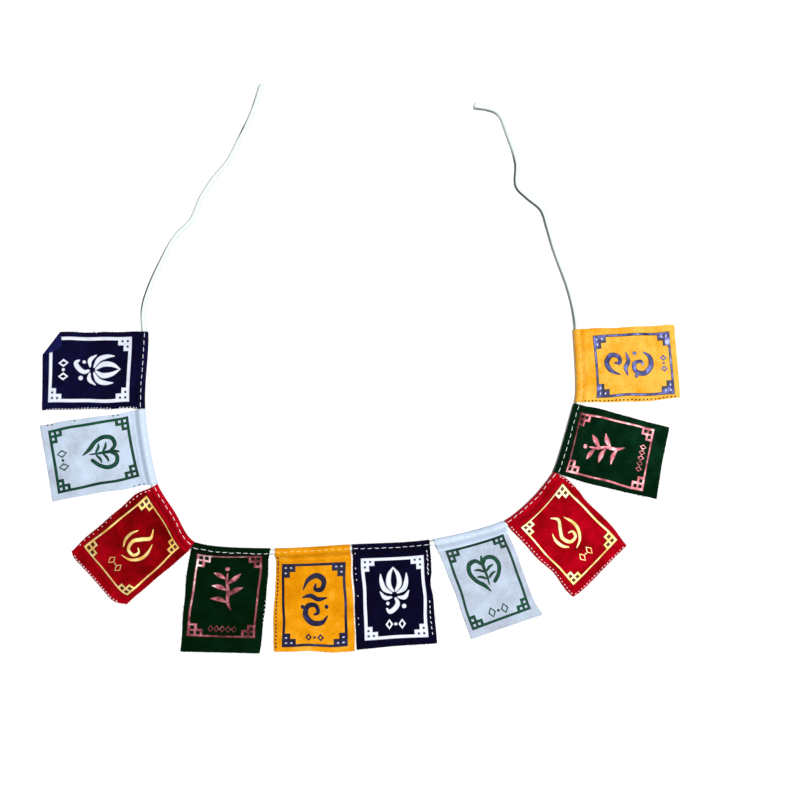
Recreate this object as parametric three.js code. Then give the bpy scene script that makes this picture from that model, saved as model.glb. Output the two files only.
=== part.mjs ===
// Tibetan prayer flag string, laid flat on a surface in a loose U.
//
// Ten small cloth flags are folded over one round cord and sewn to it. Each flag is one piece
// of cloth: its top edge turns over the cord and a short way back underneath, which makes the
// hem. The cord runs on past the first and the last flag as two free tails with cut ends.
//
// Millimetres. X to the right, Y up the layout, Z up from the surface that everything lies on.

import * as THREE from 'three';

// ---- Cord ----
const CORD_DIAMETER = 4.2;
const CORD_RADIUS = CORD_DIAMETER / 2;
const CORD_SIDES = 8;
const TAIL_STEPS = 16;            // tube steps along each free tail
const HEM_STEPS = 4;              // tube steps inside each hem

// ---- Cloth ----
const CLOTH = 1.0;                // thickness of the napped cloth
const LAYER_GAP = 0.35;           // between two layers of the same flag
const HEM_PLAY = 0.4;             // between the cord and the cloth round it
const HEM_RADIUS = CORD_RADIUS + HEM_PLAY + CLOTH / 2;
const HEM_HEIGHT = HEM_RADIUS + CLOTH / 2;   // the cord's centre where a hem lies under it
const HEM_TURN = 7;               // how far the turned edge reaches back past the cord
const HEM_SHOULDER = 8.2;         // where the top layer comes down onto the turned edge
const HEM_FOOT = 13;              // where it comes down onto the surface
const CORD_RAMP = 22;             // length over which a tail sinks from the hem to the surface

// ---- Grid of one flag ----
const COLUMNS = 8;                // strips across the flag, two to each tube step
const ROWS = 6;                   // strips down the flag, below the hem
const WAVE = 1.1;                 // height of the low waves in the cloth

// ---- Colours ----
const NAVY = 0x140d3d;
const WHITE = 0xdde4f1;
const RED = 0xb40420;
const GREEN = 0x05301a;
const YELLOW = 0xfbb02c;
const CORD_WHITE = 0xf1f6f6;

// The cord's way over the surface, from the left tail's end to the right tail's end.
const ROUTE = [
  [-76.5, 221.5], [-84.5, 198], [-94, 178.5], [-102, 163], [-114.5, 147.5],
  [-123.5, 133.5], [-131, 116.5], [-143.5, 103.5], [-154, 85], [-164.5, 61.5], [-168.5, 47],
  [-167.5, 23], [-170, -30.5], [-161.5, -85], [-158, -95], [-146, -113.8], [-134.5, -133.5],
  [-123.5, -139],
  [-68.5, -142.5], [-7, -139.5], [56.5, -135.5], [109, -122.5], [119, -117.5], [136, -103],
  [150, -86], [155, -76.5], [168, -32.5], [171, -20.5], [169.5, 24], [167.5, 44.5],
  [162.5, 64.5], [152, 93], [147, 110], [142, 124.5], [130.5, 134.5], [123, 142.5],
  [122.5, 160.5], [115.5, 183.5], [108, 199.5], [89, 205.5],
];

// The flags in order along the cord. gap is the bare cord before the hem, and for the first
// flag the whole left tail. hem is the hem's length. left and right are the bottom corners
// under the hem's start and end, and bow is how far those two side edges bulge outwards.
const FLAGS = [
  { name: 'flag_01_navy', colour: NAVY, gap: 218.5, hem: 57.5,
    left: [-248, 29], right: [-248, -31.5], bow: [0, 0] },
  { name: 'flag_02_white', colour: WHITE, gap: 2, hem: 59,
    left: [-250, -43.5], right: [-240, -103.5], bow: [0, 0.5] },
  { name: 'flag_03_red', colour: RED, gap: 2, hem: 53.5,
    left: [-226.5, -143.5], right: [-184.5, -186], bow: [2.5, 1.5] },
  { name: 'flag_04_green', colour: GREEN, gap: 3, hem: 59,
    left: [-139.5, -220.5], right: [-78.5, -222], bow: [3, 0.5] },
  { name: 'flag_05_yellow', colour: YELLOW, gap: 4, hem: 58,
    left: [-67, -220.5], right: [-4.5, -219.5], bow: [0, 0] },
  { name: 'flag_06_navy', colour: NAVY, gap: 2, hem: 60,
    left: [-1.5, -219], right: [60, -214], bow: [0, -1] },
  { name: 'flag_07_white', colour: WHITE, gap: 4.5, hem: 56.5,
    left: [86, -211], right: [142.5, -191.5], bow: [-0.5, -1.5] },
  { name: 'flag_08_red', colour: RED, gap: 2.5, hem: 53,
    left: [167, -177.5], right: [207.5, -137.5], bow: [1, 3] },
  { name: 'flag_09_green', colour: GREEN, gap: 2.5, hem: 55,
    left: [231.5, -101], right: [241.5, -46.5], bow: [1.5, 1] },
  { name: 'flag_10_yellow', colour: YELLOW, gap: 2.5, hem: 54,
    left: [249, -21.5], right: [245, 34], bow: [1.5, 1.5] },
];

// The first flag's left bottom corner is turned up over its face along a slanting crease.
const TURNED_FLAG = 'flag_01_navy';
const TURNED_ALONG = 20;          // of the bottom edge
const TURNED_UP = 14.5;           // of the side edge
const TURNED_COLUMNS = 3;         // grid columns that end on the crease

// One flag lies without waves, so that its underside is a true flat.
const FLAT_FLAG = 'flag_05_yellow';

const { lerp, smoothstep } = THREE.MathUtils;

// ---- The cord's line ----

const plan = new THREE.CatmullRomCurve3(ROUTE.map(([x, y]) => new THREE.Vector3(x, y, 0)));
plan.arcLengthDivisions = 4000;
const cordLength = plan.getLength();

let reach = 0;
for (const flag of FLAGS) {
  flag.start = reach + flag.gap;
  flag.end = flag.start + flag.hem;
  reach = flag.end;
}
const hemsStart = FLAGS[0].start;
const hemsEnd = reach;

// A point of the cord's centreline at a distance along it. It is one radius above the surface
// on the tails and rises to the height of the hems beside the first and the last flag.
function cordPoint(distance) {
  const point = plan.getPointAt(THREE.MathUtils.clamp(distance / cordLength, 0, 1));
  const beyond = Math.max(hemsStart - distance, distance - hemsEnd, 0);
  point.z = lerp(HEM_HEIGHT, CORD_RADIUS, smoothstep(beyond, 2, CORD_RAMP));
  return point;
}

// Points at even distances from one place on the cord to another, both ends included.
function cordPoints(from, to, steps) {
  return Array.from({ length: steps + 1 }, (_, i) => cordPoint(lerp(from, to, i / steps)));
}

// A line of straight runs whose corners are evenly spaced in its own parameter, so that a
// tube along it has a ring exactly at each corner.
class CorneredLine extends THREE.Curve {
  constructor(corners) {
    super();
    this.corners = corners;
  }

  getPoint(t, target = new THREE.Vector3()) {
    const place = THREE.MathUtils.clamp(t, 0, 1) * (this.corners.length - 1);
    const first = Math.min(Math.floor(place), this.corners.length - 2);
    return target.copy(this.corners[first]).lerp(this.corners[first + 1], place - first);
  }

  getUtoTmapping(u) {
    return u;
  }
}

function makeCord() {
  const corners = cordPoints(0, hemsStart, TAIL_STEPS);
  corners.pop();
  for (const flag of FLAGS) {
    corners.push(...cordPoints(flag.start, flag.end, HEM_STEPS));
  }
  corners.pop();
  corners.push(...cordPoints(hemsEnd, cordLength, TAIL_STEPS));
  const section = new THREE.Shape();
  for (let i = 0; i < CORD_SIDES; i++) {
    const angle = (i / CORD_SIDES) * 2 * Math.PI;
    const corner = [CORD_RADIUS * Math.cos(angle), CORD_RADIUS * Math.sin(angle)];
    if (i === 0) section.moveTo(...corner);
    else section.lineTo(...corner);
  }
  section.closePath();
  return new THREE.ExtrudeGeometry(section, {
    steps: corners.length - 1,
    extrudePath: new CorneredLine(corners),
  });
}

// ---- The flags ----

// The middle of the cloth where it forms the hem, as [distance down the flag from the cord's
// centre, height]. It starts at the turned edge under the cord, goes round the cord in 30
// degree steps and comes down in front of it.
function hemProfile() {
  const flat = CLOTH / 2;
  const profile = [[HEM_TURN, flat], [HEM_TURN / 2, flat]];
  for (let degrees = -90; degrees >= -300; degrees -= 30) {
    const angle = THREE.MathUtils.degToRad(degrees);
    profile.push([HEM_RADIUS * Math.cos(angle), HEM_HEIGHT + HEM_RADIUS * Math.sin(angle)]);
  }
  profile.push([HEM_SHOULDER, flat + CLOTH + LAYER_GAP]);
  profile.push([HEM_FOOT, flat]);
  return profile;
}

// Gives a sheet its thickness. points is the middle surface and faces its quads, whose last
// corner is repeated on a triangle. Both skins are offset along the mean normal at each point,
// and every edge that only one face has gets a strip of rim.
function thicken(points, faces) {
  const normals = points.map(() => new THREE.Vector3());
  const directed = new Set();
  for (const [a, b, c, d] of faces) {
    const diagonal = points[c].clone().sub(points[a]);
    const normal = diagonal.cross(points[d].clone().sub(points[b])).normalize();
    for (const corner of new Set([a, b, c, d])) normals[corner].add(normal);
    for (const [from, to] of [[a, b], [b, c], [c, d], [d, a]]) directed.add(`${from},${to}`);
  }
  const positions = [];
  for (const side of [0.5, -0.5]) {
    points.forEach((point, i) => {
      const offset = normals[i].clone().normalize().multiplyScalar(side * CLOTH);
      positions.push(...point.clone().add(offset).toArray());
    });
  }
  const under = points.length;
  const triangles = [];
  const addQuad = (a, b, c, d) => {
    triangles.push(a, b, c);
    if (c !== d) triangles.push(a, c, d);
  };
  for (const [a, b, c, d] of faces) {
    addQuad(a, b, c, d);
    if (c === d) addQuad(under + a, under + c, under + b, under + b);
    else addQuad(under + a, under + d, under + c, under + b);
    for (const [from, to] of [[a, b], [b, c], [c, d], [d, a]]) {
      if (from === to || directed.has(`${to},${from}`)) continue;
      addQuad(from, under + from, under + to, to);
    }
  }
  const geometry = new THREE.BufferGeometry();
  geometry.setAttribute('position', new THREE.Float32BufferAttribute(positions, 3));
  geometry.setIndex(triangles);
  geometry.computeVertexNormals();
  return geometry;
}

// The bottom edge from the left corner to the right one, as one point for each grid column.
// On the flag with the turned corner the first columns end on the crease instead.
function bottomEdge(flag) {
  const left = new THREE.Vector3(...flag.left, 0);
  const right = new THREE.Vector3(...flag.right, 0);
  if (flag.name !== TURNED_FLAG) {
    return Array.from({ length: COLUMNS + 1 }, (_, i) => left.clone().lerp(right, i / COLUMNS));
  }
  const hemStart = cordPoint(flag.start).setZ(0);
  const upSide = hemStart.sub(left).normalize().multiplyScalar(TURNED_UP).add(left);
  const along = right.clone().sub(left).normalize().multiplyScalar(TURNED_ALONG).add(left);
  return Array.from({ length: COLUMNS + 1 }, (_, i) => (i <= TURNED_COLUMNS
    ? upSide.clone().lerp(along, i / TURNED_COLUMNS)
    : along.clone().lerp(right, (i - TURNED_COLUMNS) / (COLUMNS - TURNED_COLUMNS))));
}

// The share of the waves' height that is left near a crease: none where the turned corner
// lies on the cloth, and all of it beyond the corner's reach.
function calmUnderCorner(point, crease) {
  if (!crease) return 1;
  const inside = crease.start.clone().sub(point).setZ(0).dot(crease.outwards);
  return smoothstep(inside, 1.2 * crease.depth, 2.4 * crease.depth);
}

// The crease of the turned corner: its two ends, the direction square to it that points at
// the corner, and the corner's distance from it.
function creaseOf(flag, bottom) {
  const start = bottom[0];
  const run = bottom[TURNED_COLUMNS].clone().sub(start).normalize();
  const corner = new THREE.Vector3(...flag.left, 0);
  const toCorner = corner.clone().sub(start);
  const outwards = toCorner.clone().addScaledVector(run, -toCorner.dot(run));
  const depth = outwards.length();
  return { start, corner, depth, outwards: outwards.normalize() };
}

// Adds the turned corner beyond the crease. Rows run parallel to the crease: four round the
// fold's half circle, then back over the flag to the corner's tip, where they all meet.
function addTurnedCorner(points, faces, crease, creaseRow) {
  const foldRadius = (CLOTH + LAYER_GAP) / 2;
  const roundFold = Math.PI * foldRadius;
  const reaches = [0.25, 0.5, 0.75, 1].map((share) => share * roundFold);
  reaches.push((roundFold + crease.depth) / 2);
  let previous = creaseRow;
  for (const past of reaches) {
    const row = creaseRow.map((index) => {
      const flat = points[index].clone().lerp(crease.corner, past / crease.depth);
      const angle = Math.min(past / foldRadius, Math.PI);
      const folded = foldRadius * Math.sin(angle) - Math.max(past - roundFold, 0);
      flat.addScaledVector(crease.outwards, folded - past);
      flat.z = CLOTH / 2 + foldRadius * (1 - Math.cos(angle));
      return points.push(flat) - 1;
    });
    for (let i = 0; i < row.length - 1; i++) {
      faces.push([previous[i], row[i], row[i + 1], previous[i + 1]]);
    }
    previous = row;
  }
  const back = roundFold - 2 * crease.depth;
  const tip = crease.corner.clone().addScaledVector(crease.outwards, back);
  tip.z = CLOTH / 2 + 2 * foldRadius;
  const tipIndex = points.push(tip) - 1;
  for (let i = 0; i < previous.length - 1; i++) {
    faces.push([previous[i], tipIndex, previous[i + 1], previous[i + 1]]);
  }
}

// One flag. Each grid column starts at the turned edge of the hem, goes round the cord, and
// runs from the hem's foot to the bottom edge, over low waves that start flat at the hem.
function makeFlag(flag, order) {
  const rings = cordPoints(flag.start, flag.end, HEM_STEPS);
  const bottom = bottomEdge(flag);
  const crease = flag.name === TURNED_FLAG ? creaseOf(flag, bottom) : null;
  const profile = hemProfile();
  const points = [];
  for (let i = 0; i <= COLUMNS; i++) {
    const share = i / COLUMNS;
    const place = share * HEM_STEPS;
    const top = rings[Math.floor(place)].clone().lerp(rings[Math.ceil(place)], place % 1).setZ(0);
    const down = bottom[i].clone().sub(top);
    const drop = down.length();
    down.normalize();
    const across = new THREE.Vector3(-down.y, down.x, 0);
    const bulge = share * flag.bow[1] - (1 - share) * flag.bow[0];
    for (const [distance, height] of profile) {
      points.push(top.clone().addScaledVector(down, distance).setZ(height));
    }
    for (let j = 1; j <= ROWS; j++) {
      const distance = lerp(HEM_FOOT, drop, j / ROWS);
      const swing = (distance - HEM_FOOT) / (drop - HEM_FOOT);
      const point = top.clone().addScaledVector(down, distance);
      point.addScaledVector(across, bulge * Math.sin(Math.PI * swing));
      const phase = 2 * Math.PI * (0.8 * share + 1.1 * swing + 0.37 * order);
      const wave = flag.name === FLAT_FLAG ? 0 : WAVE * (0.5 - 0.5 * Math.cos(phase));
      const calm = Math.min(3 * swing, 1) * calmUnderCorner(point, crease);
      point.z = CLOTH / 2 + wave * calm;
      points.push(point);
    }
  }
  const perColumn = profile.length + ROWS;
  const faces = [];
  for (let i = 0; i < COLUMNS; i++) {
    for (let j = 0; j < perColumn - 1; j++) {
      const corner = i * perColumn + j;
      faces.push([corner, corner + 1, corner + perColumn + 1, corner + perColumn]);
    }
  }
  if (crease) {
    const creaseRow = Array.from({ length: TURNED_COLUMNS + 1 },
      (_, i) => (i + 1) * perColumn - 1);
    addTurnedCorner(points, faces, crease, creaseRow);
  }
  return thicken(points, faces);
}

// ---- The whole string ----

function addPiece(group, name, geometry, colour, roughness) {
  const material = new THREE.MeshStandardMaterial({ color: colour, roughness, metalness: 0 });
  const mesh = new THREE.Mesh(geometry, material);
  mesh.name = name;
  group.add(mesh);
}

const string = new THREE.Group();
addPiece(string, 'cord', makeCord(), CORD_WHITE, 0.8);
FLAGS.forEach((flag, order) => {
  addPiece(string, flag.name, makeFlag(flag, order), flag.colour, 0.9);
});

export default string;
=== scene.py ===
import math

import bpy
import numpy as np
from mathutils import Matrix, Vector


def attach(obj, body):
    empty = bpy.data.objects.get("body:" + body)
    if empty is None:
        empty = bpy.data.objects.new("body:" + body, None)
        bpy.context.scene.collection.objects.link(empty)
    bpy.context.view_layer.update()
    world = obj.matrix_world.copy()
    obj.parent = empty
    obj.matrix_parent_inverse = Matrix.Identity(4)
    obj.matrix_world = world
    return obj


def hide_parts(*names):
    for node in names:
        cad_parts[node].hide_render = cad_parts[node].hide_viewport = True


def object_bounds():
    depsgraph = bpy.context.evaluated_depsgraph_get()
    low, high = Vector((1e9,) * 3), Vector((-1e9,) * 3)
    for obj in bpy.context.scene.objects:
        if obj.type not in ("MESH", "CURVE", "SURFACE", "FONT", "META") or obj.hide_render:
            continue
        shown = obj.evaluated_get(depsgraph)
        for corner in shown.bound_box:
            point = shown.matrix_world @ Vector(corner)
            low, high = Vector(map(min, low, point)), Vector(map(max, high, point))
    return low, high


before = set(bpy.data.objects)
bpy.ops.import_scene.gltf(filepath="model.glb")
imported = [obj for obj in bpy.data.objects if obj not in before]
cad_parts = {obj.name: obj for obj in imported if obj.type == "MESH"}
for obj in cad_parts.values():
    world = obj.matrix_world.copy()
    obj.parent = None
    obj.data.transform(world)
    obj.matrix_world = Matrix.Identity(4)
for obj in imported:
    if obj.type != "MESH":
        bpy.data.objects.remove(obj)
CAD_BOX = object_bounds()

# A string of ten small Tibetan prayer flags, laid flat in a loose U. Each flag is one piece of
# brushed cotton, folded over a braided cord and sewn to it, with a printed border, a printed
# flower, leaf, flame, sprig or cloud, and a short row of lozenges.
#
# Everything is in metres. Tables that say millimetres are multiplied by MM where they are used.

MM = 0.001
BODY = "root"
SEED = 17

# ---- The cord's sizes and route ----
CORD_DIAMETER = 0.0042
CORD_RADIUS = CORD_DIAMETER / 2
HEM_CENTRE = 0.0035               # the cord's centre above the surface, inside the hems
CORD_RAMP = 0.022                 # length over which a tail sinks from the hem to the surface
LOWEST = 0.00002                  # how far above the surface the cord and the cloth end
ROUTE = np.array([
    (-0.0765, 0.2215), (-0.0845, 0.1980), (-0.0940, 0.1785),
    (-0.1020, 0.1630), (-0.1145, 0.1475), (-0.1235, 0.1335), (-0.1310, 0.1165),
    (-0.1435, 0.1035), (-0.1540, 0.0850), (-0.1645, 0.0615), (-0.1685, 0.0470),
    (-0.1675, 0.0230), (-0.1700, -0.0305), (-0.1615, -0.0850), (-0.1580, -0.0950),
    (-0.1460, -0.1138), (-0.1345, -0.1335), (-0.1235, -0.1390), (-0.0685, -0.1425),
    (-0.0070, -0.1395), (0.0565, -0.1355), (0.1090, -0.1225), (0.1190, -0.1175), (0.1360, -0.1030),
    (0.1500, -0.0860), (0.1550, -0.0765), (0.1680, -0.0325), (0.1710, -0.0205),
    (0.1695, 0.0240), (0.1675, 0.0445), (0.1625, 0.0645), (0.1520, 0.0930),
    (0.1470, 0.1100), (0.1420, 0.1245), (0.1305, 0.1345), (0.1230, 0.1425),
    (0.1225, 0.1605), (0.1155, 0.1835), (0.1080, 0.1995), (0.0890, 0.2055),
])

# ---- The flags, in order along the cord, in millimetres ----
# gap is the bare cord before the hem and hem is the hem's length. left and right are the
# bottom corners under the hem's start and end. border gives the margins round the printed
# border as pairs: left at its top and bottom, right at its top and bottom, the distance from
# the cord to its top line at its left and right, and the margin below it at its left and right.
# left_edge, right_edge and bottom_edge say how far an edge stands out from a straight one, as
# (share along the edge, millimetres). creases are soft ridges in the cloth from one point to
# another, as (across, down, across, down, half width, height). tone is painted
# shade (-1) and painted light (1) on the cloth, and shine painted shade and
# highlight on the print, both at the flag's top left, top right, bottom left and bottom right.
# painted_hem_light is painted light added to the cloth's on the hem, and seam says how far the
# hem's stitches run below the top of its ridge.
FLAGS = [
    dict(node="flag_01_navy", cloth="navy", motif="lotus", gap=218.5, hem=57.5,
         left=(-248, 29), right=(-248, -31.5), line=2.5,
         border=((3.2, 4.3), (4.2, 5.6), (10.5, 9.9), (5.4, 4.9)),
         seam=-.2, painted_hem_light=.6, tone=(-.3, -.5, .2, .7), shine=(-.8, 0, .2, .3),
         left_edge=[(0, 1.1), (.3, .8), (.6, .1), (1, 0)],
         right_edge=[(0, 1.5), (.25, .8), (.6, .5), (.8, .9), (1, .4)],
         bottom_edge=[(0, -3.6), (.1, -.3), (.5, -.2), (1, .1)],
         creases=[(4, 30, 52, 22, 7, 1.0), (20, 78, 55, 60, 6, .8)]),
    dict(node="flag_02_white", cloth="white", motif="leaf", gap=2, hem=59,
         left=(-250, -43.5), right=(-240, -103.5), line=2.2,
         border=((3.2, 5.0), (7.2, 5.2), (11.4, 10.0), (5.5, 5.3)),
         seam=-.2, painted_hem_light=.8, tone=(.5, .7, 0, -.3), shine=(.1, -.6, .4, -.3),
         left_edge=[(0, 0), (.3, -.6), (.7, -.2), (1, -.3)],
         right_edge=[(0, 0), (.25, -.3), (.6, -.5), (1, -.4)],
         bottom_edge=[(0, -.3), (.4, -.4), (1, -.4)],
         creases=[(6, 40, 24, 52, 6, 1.3), (30, 28, 58, 38, 5, 1.0), (8, 20, 40, 16, 4, .8)]),
    dict(node="flag_03_red", cloth="red", motif="flame", gap=2, hem=53.5,
         left=(-226.5, -143.5), right=(-184.5, -186), line=1.7,
         border=((3.2, 4.4), (4.2, 4.6), (8.3, 7.9), (10.9, 9.2)),
         seam=-.5, painted_hem_light=1.3, tone=(-.8, -.9, 0, .1), shine=(.3, -.1, .5, .6),
         left_edge=[(0, 0), (.1, 2.4), (.2, 4.8), (.35, 3.4), (.65, 2.4), (.8, 1.6), (.9, .8),
                    (1, 0)],
         right_edge=[(0, 1.2), (.12, 2.8), (.25, 2.4), (.45, 1.0), (.7, .5), (1, 0)],
         bottom_edge=[(0, -2.4), (.07, .3), (.2, .5), (.4, .9), (.6, 1.6), (.8, 2.3), (.9, 1.2),
                      (1, -4.4)],
         creases=[(6, 14, 26, 44, 5, 1.4), (20, 50, 52, 58, 6, 1.0), (0, 40, 14, 66, 5, 1.2)]),
    dict(node="flag_04_green", cloth="green", motif="sprig", gap=3, hem=59,
         left=(-139.5, -220.5), right=(-78.5, -222), line=1.8,
         border=((3.4, 3.6), (5.6, 4.9), (4.7, 1.9), (12.1, 11.7)),
         seam=.8, painted_hem_light=0, tone=(-.7, -.7, -.9, -.6), shine=(1.0, -.2, -.3, -.5),
         left_edge=[(0, 1.6), (.12, 3.9), (.33, 3.6), (.6, 2.1), (.85, 1.5), (1, .5)],
         right_edge=[(0, .2), (.06, -1.2), (.28, -.1), (.6, 1.0), (.85, .2), (1, 0)],
         bottom_edge=[(0, 0), (.5, -.1), (1, -.2)],
         creases=[(8, 12, 3, 34, 6, 1.2), (30, 62, 60, 48, 7, .9)]),
    dict(node="flag_05_yellow", cloth="yellow", motif="cloud", gap=4, hem=58,
         left=(-67, -220.5), right=(-4.5, -219.5), line=2.0,
         border=((5.1, 6.5), (4.3, 5.0), (9.6, 10.7), (3.5, 4.3)),
         seam=-.3, painted_hem_light=0.4, tone=(-.7, -.6, -.1, 0), shine=(-1.2, -1.1, -.7, -.3),
         left_edge=[(0, 0), (.25, -1.0), (.35, -.5), (.7, 1.2), (1, -.5)],
         right_edge=[(0, .2), (.5, .8), (1, .8)],
         bottom_edge=[(0, 0), (.25, .2), (.4, -.4), (.6, .7), (.75, 1.6), (1, .5)],
         creases=[(12, 20, 14, 60, 6, .8), (40, 34, 60, 70, 7, .8)]),
    dict(node="flag_06_navy", cloth="navy", motif="lotus", gap=2, hem=60,
         left=(-1.5, -219), right=(60, -214), line=2.5,
         border=((6.4, 6.2), (5.0, 6.1), (8.5, 8.4), (6.6, 5.4)),
         seam=.1, painted_hem_light=0, tone=(-.5, -.9, -.8, -.6), shine=(.3, .3, .2, .2),
         left_edge=[(0, 0), (.5, .6), (1, .9)],
         right_edge=[(0, .3), (.3, .6), (.4, -1.9), (.5, -.8), (.65, .1), (1, .3)],
         bottom_edge=[(0, 0), (.45, -.7), (1, 0)],
         creases=[(60, 34, 34, 42, 5, 1.3), (10, 60, 30, 74, 6, .8)]),
    dict(node="flag_07_white", cloth="white", motif="leaf", gap=4.5, hem=56.5,
         left=(86, -211), right=(142.5, -191.5), line=2.1,
         border=((4.9, 3.3), (3.0, 6.0), (7.9, 6.6), (6.1, 7.2)),
         seam=0, painted_hem_light=1.0, tone=(-.1, -.2, -.4, -.3), shine=(-.4, -.3, .1, .5),
         left_edge=[(0, 0), (.5, -1.3), (.75, -1.6), (1, -.4)],
         right_edge=[(0, 0), (.3, -.3), (.68, -2.0), (.9, -1.4), (1, 0)],
         bottom_edge=[(0, 0), (.5, -.2), (1, 0)],
         creases=[(10, 24, 46, 16, 5, 1.1), (30, 44, 58, 40, 6, 1.2), (6, 66, 40, 60, 6, .9)]),
    dict(node="flag_08_red", cloth="red", motif="flame", gap=2.5, hem=53,
         left=(167, -177.5), right=(207.5, -137.5), line=1.7,
         border=((5.0, 5.7), (2.6, 3.5), (8.1, 7.4), (7.3, 7.9)),
         seam=-1.2, painted_hem_light=.2, tone=(.3, .2, .4, .5), shine=(.9, .9, .4, .3),
         left_edge=[(0, .8), (.1, 2.2), (.2, 1.3), (.37, 1.4), (.52, .6), (.68, -.5), (.8, .6),
                    (.95, 1.2), (1, .3)],
         right_edge=[(0, 1.6), (.11, 4.2), (.26, 4.4), (.4, 2.4), (.59, 3.4), (.8, 2.1), (1, .6)],
         bottom_edge=[(0, -.6), (.08, .8), (.3, 1.0), (.68, .5), (1, .4)],
         creases=[(54, 20, 34, 30, 6, 1.4), (0, 34, 20, 42, 6, 1.2), (30, 66, 54, 52, 6, 1.0)]),
    dict(node="flag_09_green", cloth="green", motif="sprig", gap=2.5, hem=55,
         left=(231.5, -101), right=(241.5, -46.5), line=1.8,
         border=((2.9, 3.4), (5.1, 3.4), (5.6, 3.2), (11.3, 10.8)),
         seam=.4, painted_hem_light=0, tone=(-.1, 0, 0, .4), shine=(.1, -.2, -.1, .3),
         left_edge=[(0, .6), (.22, 2.2), (.5, 2.3), (.73, .9), (.9, 1.0), (1, .8)],
         right_edge=[(0, .2), (.16, 1.3), (.4, 1.0), (.62, .8), (.82, 1.2), (1, .4)],
         bottom_edge=[(0, 0), (.5, -1.0), (1, -.4)],
         creases=[(0, 22, 20, 30, 6, 1.2), (28, 60, 55, 50, 7, 1.0)]),
    dict(node="flag_10_yellow", cloth="yellow", motif="cloud", gap=2.5, hem=54,
         left=(249, -21.5), right=(245, 34), line=2.0,
         border=((3.3, 3.2), (3.9, 5.1), (13.6, 12.1), (3.8, 4.3)),
         seam=.4, painted_hem_light=0, tone=(.6, .1, .9, .9), shine=(-.1, 0, 0, .4),
         left_edge=[(0, .4), (.1, 1.0), (.37, 1.9), (.55, 2.5), (.82, 1.5), (1, .8)],
         right_edge=[(0, 2.2), (.12, 2.8), (.36, 1.4), (.54, 1.0), (.72, 1.3), (.91, .9), (1, 0)],
         bottom_edge=[(0, .6), (.5, .4), (1, .1)],
         creases=[(10, 20, 30, 26, 6, 1.0), (20, 56, 54, 44, 7, .9)]),
]

# ---- Cloth and hem ----
CLOTH = 0.0007                    # thickness of the cloth
HEM_RADIUS = 0.0026               # of the middle of the cloth where it goes round the cord
HEM_LOW_CENTRE = HEM_RADIUS + CLOTH / 2   # centre of the lower bend, which rests on the surface
HEM_TURN = 0.0060                 # how far the turned edge reaches back under the flag
HEM_TANGENT = 0.0019              # where the cloth leaves the cord's round on the face
HEM_SHOULDER = 0.0066             # where the face comes down onto the turned edge
HEM_FOOT = 0.0092                 # where it comes down onto the surface
SHOULDER_HEIGHT = 1.5 * CLOTH + 0.0001    # of the cloth's middle, over the turned edge
HEM_PITCH = 0.0052                # from one hem stitch to the next, at least
HEM_DASH = 0.0040                 # length of a stitch
HEM_THREAD = 0.00047              # thickness of the hem's thread
HEM_PUCKER = 0.00022              # how deep the stitching presses the ridge
SLOW_SWAY = 0.25                  # how far the cloth wanders sideways, in millimetres
QUICK_SWAY = 0.2
RAGGED = 0.00012                  # how uneven the cut bottom edge is

# ---- The first flag's corner, turned up over its face ----
TURNED_FLAG = "flag_01_navy"
TURNED_ALONG = 0.0196             # where the crease meets the bottom edge, from the corner
TURNED_UP = 0.0150                # where it meets the left side, from the corner
FOLD_RADIUS = 0.00055
FLAP_SPRING = 0.0007              # how far the flap's tip stands off the face

# ---- Print ----
PRINT_WIDE = 49.5                 # the border's outer size, in millimetres
PRINT_TALL = 64.0
PRINT_THICK = 0.00016             # this one and the next two in metres
FILM_STEP = 0.000004
FILM_DEPTH = 0.00005
BLOCK_LONG = 10.6                 # the stepped corner blocks
BLOCK_DEEP = 6.3
BLOCK_PITCH = 4.1                 # between the middles of two square holes
BLOCK_HOLES = {"navy": 1.5, "white": 2.1, "red": 1.9, "green": 2.0, "yellow": 0}
DAB_WIDE = 0.95                   # half the width of the pale dabs on the blocks that have no holes
DAB_TALL = 0.6
PRINT_RIM = 0.65                  # how broad the film's rim is, where it lies thinner
PRINT_CELL = 1.3                  # the longest side of one of the film's faces
STROKE_ROWS = np.array([-1, -0.62, 0, 0.62, 1])   # across a stroke, in half widths
RING_ROWS = np.array([0, 0.12, 0.5, 0.88, 1])     # across a lozenge's line
RING_SIDES = 48
DOT_ROWS = 7


# ==== Mesh tools ====

def grid_quads(across, down, closed=False):
    """The quads of a grid whose point (i, j) has the number i * down + j. Each goes down first
    and then across. A closed grid joins its last column of j to its first."""
    i = np.arange(across - 1)[:, None]
    j = np.arange(down if closed else down - 1)[None, :]
    after = (j + 1) % down
    corners = (i * down + j, i * down + after, (i + 1) * down + after, (i + 1) * down + j)
    return np.stack([c.ravel() for c in corners], axis=1)


def slab_faces(quads, count):
    """The faces of a closed slab over a patch of quads: the patch itself, the same turned over
    on the points that follow after count, and a wall at each edge that only one quad has."""
    start = quads.ravel()
    end = np.roll(quads, -1, axis=1).ravel()
    lone = ~np.isin(start * count + end, end * count + start)
    a, b = start[lone], end[lone]
    walls = np.stack([b, a, a + count, b + count], axis=1)
    return quads, quads[:, ::-1] + count, walls


def normalised(vectors):
    """Vectors scaled to length one."""
    return vectors / np.maximum(np.linalg.norm(vectors, axis=-1, keepdims=True), 1e-12)


def eased(low, high, value):
    """0 up to low, 1 from high on, and the smooth cubic 3t^2 - 2t^3 between them."""
    t = np.clip((value - low) / (high - low), 0, 1)
    return t * t * (3 - 2 * t)


def soft_line(corners, value):
    """A line of straight runs through (place, height) corners, rounded by taking the mean of
    nine places a little before and after each one."""
    places, heights = zip(*corners)
    near = [np.interp(value + step, places, heights) for step in np.linspace(-0.05, 0.05, 9)]
    return np.mean(near, axis=0)


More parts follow.
